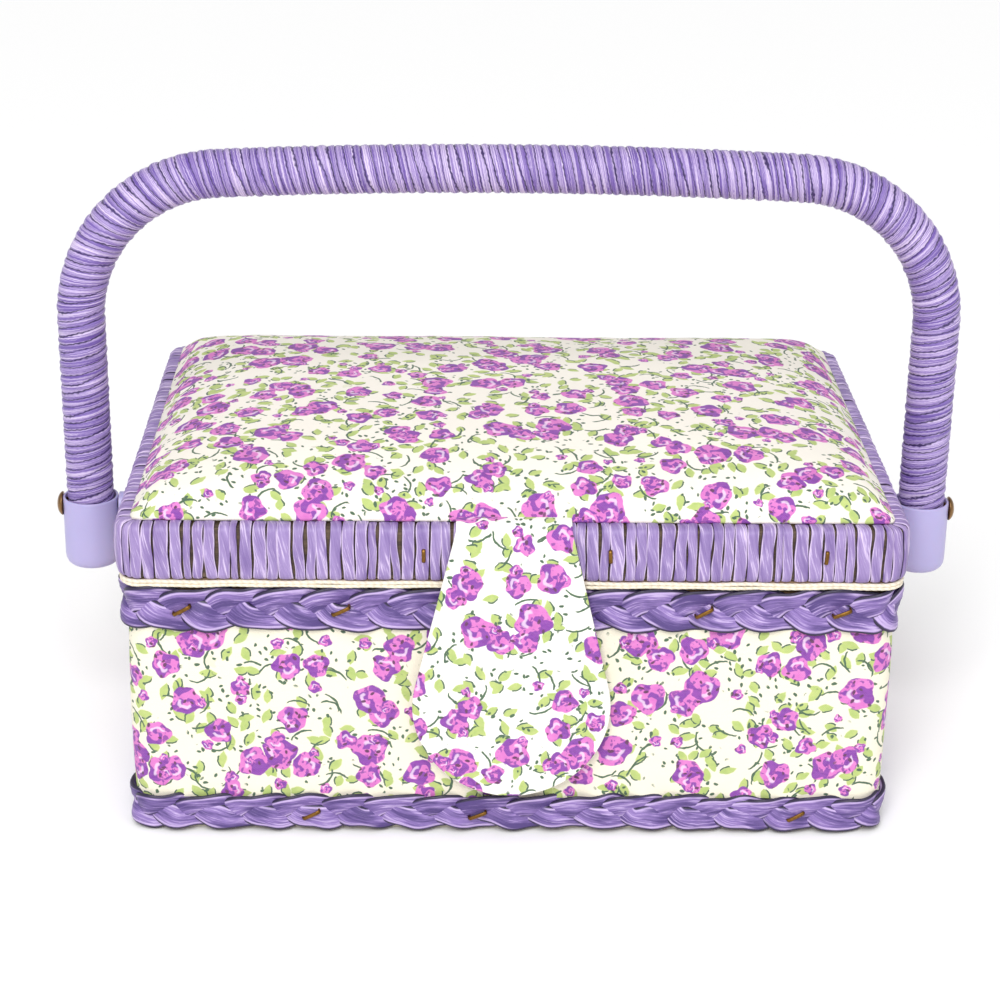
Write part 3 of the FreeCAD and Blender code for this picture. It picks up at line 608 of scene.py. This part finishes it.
def lid_strips():
    """Single strips of raffia, each wrapped once round the lid's rails."""
    rng = np.random.default_rng(11)
    total = length_of(*RAIL_OUT)
    count = round(total / STRIP_PITCH)
    marks = (np.arange(count) + rng.uniform(-0.2, 0.2, count)) * total / count
    share_wide, wide, narrow = 0.1, (0.6, 1.1), (0.1, 0.28)
    gaps = np.where(rng.random(count) < share_wide, rng.uniform(*wide, count),
                    rng.uniform(*narrow, count))
    # the section of a wrapped rail: distance out from its outer face, and height
    turns = np.radians(np.linspace(0, 360, 41)[:-1])
    round_in, thick = 1.8, 1.05
    inner = (RAIL_THICK - thick) / 2 - round_in
    upper = (RAIL_HIGH - RAIL_LOW - thick) / 2 - round_in
    bend = round_in * math.pi / 2
    legs = np.cumsum([0, upper, bend, 2 * inner, bend, 2 * upper, bend, 2 * inner, bend, upper])
    walk = (turns / TAU + 0.5) % 1 * legs[-1]   # so that the loop closes on the inner side
    facing = np.radians(np.interp(walk, legs, [0, 0, 90, 90, 180, 180, 270, 270, 360, 360]))
    core_out = np.interp(walk, legs, [inner, inner, inner, -inner, -inner, -inner, -inner,
                                      inner, inner, inner])
    core_up = np.interp(walk, legs, [0, upper, upper, upper, upper, -upper, -upper, -upper,
                                     -upper, 0])
    bow = 0.35 * np.cos(np.clip(core_up / upper, -1, 1) * math.pi / 2) * (np.cos(facing) > 0.5)
    out = core_out + (round_in + bow) * np.cos(facing) - RAIL_THICK / 2
    up = core_up + round_in * np.sin(facing) + (RAIL_HIGH + RAIL_LOW) / 2
    groups = {"rear": [], "left": [], "front": [], "right": []}
    bend_at = np.cumsum([RAIL_OUT[0] - RAIL_OUT[2] / 2, 2 * RAIL_OUT[1] - RAIL_OUT[2],
                         2 * RAIL_OUT[0] - RAIL_OUT[2], 2 * RAIL_OUT[1] - RAIL_OUT[2]])
    for k in range(count):
        # a strip leans, wanders and narrows a little on its way round
        start = marks[k] + gaps[k] / 2
        stop = (marks[(k + 1) % count] + (total if k == count - 1 else 0)) - gaps[k - 1] / 2
        middle, half = (start + stop) / 2, max((stop - start) / 2, 0.9)
        side = np.linspace(0, 1, 41)[:-1]
        slant = rng.uniform(-0.7, 0.4) * (up - RAIL_LOW) / (RAIL_HIGH - RAIL_LOW)
        crook = 0.2 * ripple(side, 100 + k, 1, 3)
        pinch = 1 + 0.05 * ripple(side, 400 + k, 1, 4)
        section = np.arange(12) / 12 * TAU
        across = np.sign(np.cos(section)) * np.abs(np.cos(section)) ** 0.7
        lift = np.sign(np.sin(section)) * np.abs(np.sin(section)) ** 0.6
        lift = lift * thick / 2 - 0.12 * across ** 2 + rng.uniform(-0.05, 0.15)
        s = (middle + (slant + crook)[:, None] + half * pinch[:, None] * across) % total
        point, normal, _ = outline(s, *RAIL_OUT)
        off = (out[:, None] + np.cos(facing)[:, None] * lift)
        points = np.zeros((40, 12, 3))
        points[..., :2] = point + normal * off[..., None]
        crest = rng.uniform(-0.1, 0.22) * np.clip(np.sin(facing), 0, 1)
        points[..., 2] = (up + crest)[:, None] + np.sin(facing)[:, None] * lift
        tags = np.zeros((41, 13, 3))
        tags[..., 0] = (np.linspace(0, legs[-1], 41) + k * 13.0)[:, None]
        tags[..., 1] = np.append(across, across[0])
        tags[..., 2] = k
        where = ("rear", "left", "front", "right", "rear")[
            np.searchsorted(bend_at, middle, side="right")]
        groups[where].append((points, tags, True, True))
    for where, patches in groups.items():
        thing = skin(f"lid_strips_{where}", patches, MATERIALS["raffia_lid"], "lid")
        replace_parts(thing, f"lid_wrap_{where}")


def gimp():
    """Two rows of twisted cotton cord under the rails, on a brown backing band whose strip above the
    cords is painted shade under the rails.
    """
    total = length_of(*GIMP_OUT)
    count = 1100
    radius, lay = 0.62, 4.4                # of the cord, and of one whole twist
    s = np.arange(count + 1) / count * total
    point, out, _ = outline(s, *GIMP_OUT)
    turn = np.arange(10) / 10 * TAU
    patches = []
    for row, (height, proud) in enumerate(((84.85, 0.1), (86.0, 0.25))):
        sway = 0.12 * ripple(s / total, 60 + row, 8, 40)
        reach_out = radius + 0.05 * np.cos(2 * (turn - (s * TAU / lay)[:, None]))
        points = np.zeros((count + 1, 10, 3))
        off = proud - 0.6 + np.cos(turn) * reach_out
        points[..., :2] = point[:, None] + out[:, None] * off[..., None]
        points[..., 2] = height + sway[:, None] + np.sin(turn) * reach_out
        tags = np.zeros((count + 1, 11, 3))
        tags[..., 0] = s[:, None]
        tags[..., 1] = np.linspace(0, 1, 11)
        tags[..., 2] = row
        patches.append((points, tags, False, True))
    cords = skin("lid_gimp_cords", patches, MATERIALS["gimp"], "lid", 0.0)
    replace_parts(cords, "lid_gimp")
    # brown backing band behind the cords; its strip that shows above them is painted shade under the
    # rails
    points, tags = ringed([(0.8, 84.5), (0.8, 86.9), (3.4, 86.9), (3.4, 84.5), (0.8, 84.5)],
                          GIMP_OUT, 240)
    skin("lid_gimp_band", [(points, tags, True, False)], MATERIALS["backing_band_painted_shade"], "lid")


# ---------------------------------------------------------------- cloth that follows an outline

def ringed(profile, plan, around, widen=0.0, coords="plan"):
    """Rings of points round the box, one for each (inset, height) of the profile.

    The corner grows by widen times the inset. The coordinates are the plan position, pushed out
    by what the profile climbs, or with coords="wall" the distance round and the height.
    """
    half_x, half_y, radius = plan
    climbed = np.zeros(len(profile))
    for k in range(len(profile) - 2, -1, -1):
        (a, low), (b, high) = profile[k], profile[k + 1]
        climbed[k] = climbed[k + 1] + math.hypot(b - a, high - low) - abs(b - a)
    points = np.zeros((around, len(profile), 3))
    tags = np.zeros((around + 1, len(profile), 3))
    for k, (inset, height) in enumerate(profile):
        deep = max(half_y - inset, 0.002)
        corner = min(max(radius + widen * inset, 0.5), deep * 0.999)
        ring = (half_x - inset, deep, corner)
        length = length_of(*ring)
        s = np.arange(around + 1) / around * length
        point, out, _ = outline(s, *ring)
        points[:, k, :2] = point[:-1]
        points[:, k, 2] = height
        if coords == "wall":
            tags[:, k, 0] = s
            tags[:, k, 1] = height
        else:
            tags[:, k, :2] = point + out * climbed[k]
    return points, tags


def outer_cloth():
    """The printed sleeve: pulled over the boards, a little full between the two braids."""
    total = length_of(*CLOTH_OUT)
    count, levels = 420, 34
    s = np.arange(count + 1) / count * total
    heights = np.linspace(CLOTH_LOW, CLOTH_HIGH, levels)
    point, out, _ = outline(s, *CLOTH_OUT)
    t, v = np.meshgrid(s / total, np.linspace(0, 1, levels), indexing="ij")
    full = 0.55 * (1 - (2 * v - 1) ** 2)
    creases = 0.2 * ripple(t + 0.04 * v, 5, 9, 26) * np.sin(math.pi * v) ** 0.6
    drag = 0.22 * ripple(t - 0.02 * v, 6, 40, 90) * (np.exp(-v * 9) + np.exp((v - 1) * 9))
    off = full + creases + drag - 0.15
    points = np.zeros((count + 1, levels, 3))
    points[..., :2] = point[:, None] + out[:, None] * off[..., None]
    points[..., 2] = heights
    tags = np.zeros((count + 1, levels, 3))
    tags[..., 0] = s[:, None]
    tags[..., 1] = heights
    cloth = skin("outer_cloth", [(points[:-1], tags, True, False)], MATERIALS["print_body"],
                 "chest")
    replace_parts(cloth, "outer_fabric")
    total * MM


def dome():
    """The padded top of the lid under its printed cover."""
    steps = (0, 0.004, 0.012, 0.025, 0.045, 0.07, 0.1, 0.14, 0.19, 0.25, 0.32, 0.4, 0.5, 0.6,
             0.7, 0.8, 0.9, 0.97, 1.0)
    profile = [(0.3, 103.6), (-1.0, 104.0), (-2.2, 104.6), (-2.2, 105.4), (-1.2, 106.4)]
    for step in steps[2:]:
        swell = (1 - (1 - step) ** DOME_FULL) ** (1 / DOME_FULL)
        profile.append((step * DOME_OUT[1], RAIL_HIGH + DOME_RISE * swell))
    points, tags = ringed(profile, DOME_OUT, 360, 0.8)
    t = np.arange(360)[:, None] / 360
    inset = np.array([p[0] for p in profile])
    edge_pull = np.exp(-np.abs(inset) / 7.0) * (inset > 0)
    points[..., 2] += 0.35 * ripple(t, 21, 30, 75) * edge_pull
    points[..., 2] += 0.3 * ripple(t, 22, 3, 9) * np.exp(-((inset - 30) / 22.0) ** 2)
    cover = skin("lid_dome", [(points, tags, True, False)], MATERIALS["print_lid"], "lid",
                 0.02)
    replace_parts(cover, "lid_cover", "lid_foam")


def inner_linings():
    """Satin inside the box and inside the lid."""
    profile = [(0.1, 5.2), (0.1, 40.0), (0.1, 82.2), (0.35, 83.0), (0.9, 83.2), (1.35, 82.4),
               (1.2, 79.5), (1.05, 60.0), (1.05, 45.0), (1.05, 20.0), (1.3, 10.0), (2.2, 7.2),
               (4.0, 6.3), (20.0, 6.1), (50.0, 6.1), (LINING_OUT[1], 6.1)]
    points, tags = ringed(profile, LINING_OUT, 360)
    tub = skin("box_lining", [(points, tags, True, False)], MATERIALS["satin"], "chest",
               0.02)
    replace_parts(tub, "inner_lining")

    profile = [(0.1, 100.9), (0.1, 94.0), (0.1, 88.2), (0.6, 87.3), (2.2, 86.9), (3.7, 87.4),
               (4.25, 88.8), (4.3, 92.0), (4.4, 95.5), (5.2, 98.0), (7.5, 98.9), (14.0, 98.5),
               (30.0, 98.25), (55.0, 98.3), (DOME_OUT[1], 98.35)]
    points, tags = ringed(profile, DOME_OUT, 360)
    t = np.arange(360)[:, None] / 360
    inset = np.array([p[0] for p in profile])
    points[..., 2] += 0.12 * ripple(t, 31, 20, 60) * np.exp(-((inset - 9) / 6.0) ** 2)
    pad = skin("lid_lining_pad", [(points, tags, True, False)], MATERIALS["satin"], "lid",
               0.02)
    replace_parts(pad, "lid_lining")


def lid_fittings():
    """The gathered pocket and the pincushion inside the lid."""
    across, deep = 90, 22
    half_x, front, long = 74.5, -67.6, 51.2
    u, v = np.meshgrid(np.linspace(-1, 1, across), np.linspace(0, 1, deep), indexing="ij")
    gather = 0.45 * ripple(u / 2 + 0.5, 41, 12, 26) * (0.25 + 0.75 * v)
    sag = 2.1 * (1 - u ** 6) * np.sin(math.pi * np.clip(0.08 + 0.84 * v, 0, 1)) ** 0.6
    points = np.zeros((across, deep, 3))
    points[..., 0] = u * half_x
    points[..., 1] = front + long * v
    points[..., 2] = 98.2 - sag - gather * (1 - u ** 8)
    tags = np.stack([u * 95, v * 52, np.zeros_like(u)], -1)
    pocket = skin("lid_pocket_cloth", [(points, tags, False, False)], MATERIALS["print_body"],
                  "lid")
    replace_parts(pocket, "lid_pocket")
    s = np.arange(160) / 160
    edge = np.zeros((160, 3))
    edge[:, 0] = (s * 2 - 1) * (half_x + 0.1)
    edge[:, 1] = front + long
    edge[:, 2] = np.interp(edge[:, 0], points[:, -1, 0], points[:, -1, 2])
    up = np.tile([0.0, 0.0, 1.0], (160, 1))
    out = np.tile([0.0, 1.0, 0.0], (160, 1))
    tube, tube_tags = swept(edge, out, up, np.full(160, 1.0), np.full(160, 0.7), 10,
                            np.stack([s * 150, s * 0], 1))
    skin("lid_pocket_hem", [(tube, tube_tags, False, True)], MATERIALS["satin"], "lid")

    profile = [(0.6, 98.6), (0.1, 97.4), (0.0, 96.2), (0.5, 94.9), (1.6, 93.6), (3.4, 92.5),
               (6.0, 91.8), (10.0, 91.3), (15.0, 91.1), (20.0, 91.1), (23.0, 91.2)]
    points, tags = ringed(profile, (31.0, 23.0, 9.0), 160, 0.4)
    t = np.arange(160)[:, None] / 160
    inset = np.array([p[0] for p in profile])
    points[..., 2] -= 0.22 * ripple(t, 51, 10, 30) * np.exp(-((inset - 2) / 2.5) ** 2)
    points[..., :2] += middle_of("pincushion")[:2]
    cushion = skin("pin_pad", [(points, tags, True, False)], MATERIALS["velvet"], "lid",
                   0.02)
    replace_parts(cushion, "pincushion")


# ---------------------------------------------------------------- flap

def flap():
    """One piece of stiffened cloth from the lid's top edge, over the rail and down the front."""
    knots = np.array([(-77.4, 105.1), (-79.5, 105.55), (-82.0, 105.75), (-84.2, 105.4),
                      (-85.8, 104.4), (-86.7, 102.8), (-87.0, 100.5), (-87.15, 92.0),
                      (-87.3, 76.0), (-87.4, 60.0), (-87.35, 46.0), (-87.2, 30.0),
                      (-87.1, 15.6)])
    gone = np.concatenate([[0], np.cumsum(np.linalg.norm(np.diff(knots, axis=0), axis=1))])
    bottom = gone[-1]
    round_end, round_z = 30.4, 46.0        # radius and height of the flap's round end
    foot = bottom - np.linspace(0, 1, 40)[::-1] ** 2 * round_end
    walk = np.concatenate([np.linspace(0, foot[0], 60)[:-1], foot])
    fine = np.linspace(0, bottom, 900)
    spread = np.exp(-0.5 * ((fine[:, None] - fine) / 1.1) ** 2)
    spread /= spread.sum(1, keepdims=True)
    y, z = (spread @ np.interp(fine, gone, knots[:, k]) for k in (0, 1))
    y, z = (np.interp(walk, fine, a) for a in (y, z))
    z = np.where(walk > gone[7], np.interp(walk, gone, knots[:, 1]), z)
    level = np.minimum(z, 104.0)
    half = np.where(level > 53.05, np.interp(level, [53.05, 104.0], [29.57, 17.4]),
                    np.sqrt(np.clip(round_end ** 2 - (round_z - level) ** 2, 0, None)))
    half[-1] = 0.02
    ahead = unit(np.stack([np.gradient(y), np.gradient(z)], 1))
    out_y, out_z = ahead[:, 1], -ahead[:, 0]
    thick = np.interp(walk, [0, 12, 24, bottom], [0.5, 0.6, 1.05, 1.05])
    turn = np.arange(44) / 44 * TAU
    across = np.sign(np.cos(turn)) * np.abs(np.cos(turn)) ** 0.55
    lift = np.sign(np.sin(turn)) * np.abs(np.sin(turn)) ** 0.3
    soft = 0.12 * ripple(walk / bottom / 2, 71, 2, 7)[:, None] * across
    points = np.zeros((len(walk), 44, 3))
    edge_round = np.clip(half / 4.0, 0.15, 1)
    points[..., 0] = half[:, None] * across
    points[..., 1] = y[:, None] - soft * 0.5 - lift * (thick * np.abs(out_y)
                                                       * edge_round)[:, None]
    points[..., 2] = z[:, None] + lift * thick[:, None] * np.abs(out_z)[:, None]
    tags = np.zeros((len(walk), 45, 3))
    wide = np.append(across, across[0])
    tags[..., 0] = half[:, None] * wide
    tags[..., 1] = -walk[:, None]
    tags[..., 2] = 1.0
    cloth = skin("flap_cloth", [(points, tags, False, True)], MATERIALS["print_flap"], None,
                 0.05)
    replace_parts(cloth, "flap_anchor", "flap_back_ply", "flap_front_ply", "flap_stiffener")
    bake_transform(cloth)


# ---------------------------------------------------------------- handle

def handle_line(foot):
    """Points along the middle of the handle, in its own plane (x, z), and distance along it."""
    corner_x, corner_z, bend, bow = 90.7, 142.1, 48.0, 1880.0
    lean = math.atan2(corner_x, corner_z + bow - HANDLE_TOP)
    turn = np.linspace(math.pi, math.pi / 2 + lean, 160)
    left = np.stack([-corner_x + bend * np.cos(turn), corner_z + bend * np.sin(turn)], 1)
    arch = np.linspace(math.pi / 2 + lean, math.pi / 2 - lean, 160)[1:-1]
    middle = np.stack([bow * np.cos(arch), HANDLE_TOP - bow + bow * np.sin(arch)], 1)
    leg = np.stack([np.full(60, -LEG_X), np.linspace(foot, corner_z, 61)[:-1]], 1)
    line = np.concatenate([leg, left, middle, (left * [-1, 1])[::-1], (leg * [-1, 1])[::-1]])
    gone = np.concatenate([[0], np.cumsum(np.linalg.norm(np.diff(line, axis=0), axis=1))])
    return line, gone


def handle_winding():
    """Raffia wound closely round the handle's core: the groove of a helix that leans."""
    line, gone = handle_line(75.5)
    total = gone[-1]
    count = int(total / TURN_PITCH * 10)
    s = np.linspace(0, total, count)
    x, z = (np.interp(s, gone, line[:, k]) for k in (0, 1))
    ahead = unit(np.stack([np.gradient(x), np.gradient(z)], 1))
    out = np.stack([-ahead[:, 1], np.zeros(count), ahead[:, 0]], 1)
    centre = np.stack([x, np.zeros(count), z], 1)
    around = 40
    turn = np.arange(around + 1) / around * TAU
    grid_s, grid_turn = np.meshgrid(s / total, turn / TAU, indexing="ij")
    wander = 0.12 * ripple(grid_s, 81, 30, 90) + 0.1 * ripple(grid_s * 3 + grid_turn, 82, 20, 60)
    wander += 0.06 * np.sin(TAU * (grid_turn * 2 + 17 * grid_s))
    wander += 0.55 * np.cos(turn)
    phase = s[:, None] / TURN_PITCH + turn / TAU + wander
    part = (phase % 1) * 2 - 1
    ends = np.clip(np.minimum(s, total - s)[:, None] / 9.0, 0, 1)
    between, rise = 7.05, 0.7              # radius between two turns, and how far a turn rises
    size = between + rise * np.sqrt(np.clip(1 - part ** 2 * 0.98, 0, 1))
    size += 0.12 * ripple(grid_s, 83, 60, 160) - 0.35 * (1 - ends)
    points = (centre[:, None] + out[:, None] * (np.cos(turn) * size)[..., None]
              + np.array([0, 1.0, 0]) * (np.sin(turn) * size)[..., None])
    tags = np.stack([grid_turn * 48 + grid_s * 3000, phase, np.zeros_like(phase)], -1)
    winding = skin("handle_winding", [(points[:, :-1], tags, False, True)],
                   MATERIALS["raffia_winding"], "handle", 0.0)
    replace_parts(winding, "handle_wrap")


def lathe(name, profile, middle, axis, material, body, node, around=48):
    """A turned piece: profile is (radius, distance along the axis)."""
    turn = np.arange(around + 1) / around * TAU
    radius, along = (np.array([p[k] for p in profile]) for k in (0, 1))
    radius = np.maximum(radius, 0.0)
    first, second, third = {"z": (0, 1, 2), "x": (1, 2, 0)}[axis]
    points = np.zeros((len(profile), around, 3))
    points[..., first] = radius[:, None] * np.cos(turn[:-1])
    points[..., second] = radius[:, None] * np.sin(turn[:-1])
    points[..., third] = along[:, None]
    tags = np.stack(np.broadcast_arrays(turn * 5, along[:, None], 0.0 * turn), -1)
    thing = skin(name, [(points + np.array(middle), tags, False, True)], material, body)
    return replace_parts(thing, node)


def handle_ends():
    """The moulded cup on each leg of the handle, and the domed rivet through it."""
    cup = [(0.0, 56.0), (5.2, 56.0), (6.6, 56.15), (7.8, 56.7), (8.6, 57.5), (9.05, 58.6),
           (9.2, 60.0), (9.2, 64.0), (9.2, 72.0), (9.2, 79.4), (9.12, 79.8), (8.9, 80.0),
           (8.6, 80.0), (8.42, 79.85), (8.35, 79.5), (8.3, 76.5), (8.0, 76.0), (0.0, 76.0)]
    head = [(0.0, 149.85), (1.0, 149.8), (2.0, 149.6), (2.9, 149.25), (3.6, 148.75),
            (3.95, 148.3), (4.0, 148.05), (3.8, 147.85), (2.0, 147.8), (2.0, 108.0), (0.0, 108.0)]
    for sign, side in ((-1, "left"), (1, "right")):
        lathe(f"handle_cup_{side}", cup, (sign * LEG_X, 0, 0), "z", MATERIALS["ferrule"],
              "handle", f"ferrule_{side}")
        lathe(f"pivot_rivet_{side}", [(r, sign * x) for r, x in head], (0, 0, HINGE_Z), "x",
              BY_SLOT["rivet_brass"], "chest", f"rivet_{side}", 32)


# ---------------------------------------------------------------- staples

def staples(name, spots, body, node, lean, crown):
    """Wire staples on the front: each crown lies on the surface and its ends turn in."""
    patches = []
    for k, (x, y, z) in enumerate(spots):
        tilt = math.radians(lean + 4 * math.sin(k * 2.3))
        bar = np.array([math.cos(tilt), 0, math.sin(tilt)])
        run = np.array([(-1, 2.2), (-1, 1.0), (-0.985, 0.45), (-0.9, 0.1), (-0.6, 0.0), (0, -0.05),
                        (0.6, 0.0), (0.9, 0.1), (0.985, 0.45), (1, 1.0), (1, 2.2)])
        centre = np.array([x, y, z]) + run[:, :1] * bar * crown / 2 + run[:, 1:] * [0, 1.0, 0]
        ahead = unit(np.gradient(centre, axis=0))
        side = unit(np.cross(ahead, np.cross([0, 1.0, 0], bar)))
        up = np.cross(ahead, side)
        points, tags = swept(centre, up, side, np.full(len(run), 0.62), np.full(len(run), 0.4),
                             10, np.stack([run[:, 0] * crown, np.full(len(run), k * 1.0)], 1))
        patches.append((points, tags, False, True))
    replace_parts(skin(name, patches, BY_SLOT["brass_wire"], body, 0.0), node)


# ---------------------------------------------------------------- stage

def camera():
    """The photographed viewpoint: in front, above, turned and rolled a little."""
    pitch, yaw, roll = (math.radians(a) for a in (22.19, 1.29, 0.84))
    ahead = Vector((math.sin(yaw) * math.cos(pitch), math.cos(yaw) * math.cos(pitch),
                    -math.sin(pitch)))
    right = ahead.cross(Vector((0, 0, 1))).normalized()
    up = right.cross(ahead)
    turned = math.cos(roll) * right + math.sin(roll) * up
    up = -math.sin(roll) * right + math.cos(roll) * up
    where = Vector((-0.0196, -0.7603, 0.3892))
    data = bpy.data.cameras.new("view")
    data.lens, data.sensor_width = 88.5, 36
    data.clip_start, data.clip_end = 0.02, 20
    eye = bpy.data.objects.new("view", data)
    eye.matrix_world = Matrix.Translation(where) @ Matrix(
        (turned, up, -ahead)).transposed().to_4x4()
    bpy.context.scene.collection.objects.link(eye)
    bpy.context.scene.camera = eye


def lamp(name, where, size, power):
    data = bpy.data.lights.new(name, "AREA")
    data.shape, data.size, data.energy = "DISK", size, power
    thing = bpy.data.objects.new(name, data)
    thing.location = where
    thing.rotation_euler = (Vector((0, 0, 0.07)) - Vector(where)).to_track_quat("-Z", "Y").to_euler()
    bpy.context.scene.collection.objects.link(thing)


def studio():
    scene = bpy.context.scene
    scene.view_settings.view_transform = "Standard"
    world = bpy.data.worlds.new("studio")
    scene.world = world
    world.use_nodes = True
    sky = world.node_tree.nodes["Background"]
    sky.inputs["Color"].default_value = (1, 1, 1, 1)
    sky.inputs["Strength"].default_value = 0.62
    sun = bpy.data.lights.new("daylight", "SUN")
    sun.energy, sun.angle = 1.5, math.radians(40)
    high = bpy.data.objects.new("daylight", sun)
    high.rotation_euler = Vector((0.12, 0.8, -1.0)).to_track_quat("-Z", "Y").to_euler()
    scene.collection.objects.link(high)
    lamp("key", (-0.22, -1.0, 0.75), 0.3, 3.4)
    lamp("fill", (0.6, -0.9, 0.6), 0.5, 0.9)
    mesh = bpy.data.meshes.new("floor")
    wide = 40
    mesh.from_pydata([(-wide, -wide, 0), (wide, -wide, 0), (wide, wide, 0), (-wide, wide, 0)],
                     [], [(0, 1, 2, 3)])
    net = Net("floor_card")
    tooth = net.noise(net.place(), 900.0, 3.0)
    mesh.materials.append(net.finish(net.mix(tooth, rgb(255, 255, 255), rgb(252, 252, 252)),
                                     0.9, tooth, 0.01))
    floor = bpy.data.objects.new("floor", mesh)
    scene.collection.objects.link(floor)


camera()
studio()
dress_cad_nodes()
outer_cloth()
plait("rim_plait", "rim_braid", RIM_OUT, RIM_LOW - 0.2, RIM_HIGH + 0.5,
      periods=19, width=8.4, seed=3, loose=0.6)
plait("foot_plait", "base_braid", FOOT_OUT, 1.1, FOOT_HIGH + 0.4,
      periods=18, width=7.6, seed=43, loose=0.9)
lid_strips()
gimp()
dome()
inner_linings()
lid_fittings()
flap()
handle_winding()
handle_ends()
staples("rim_and_foot_staples", BRAID_STAPLES, "chest", "braid_staples", 26, 5.6)
staples("lid_front_staples", LID_STAPLES, "lid", "lid_staples", 90, 3.8)
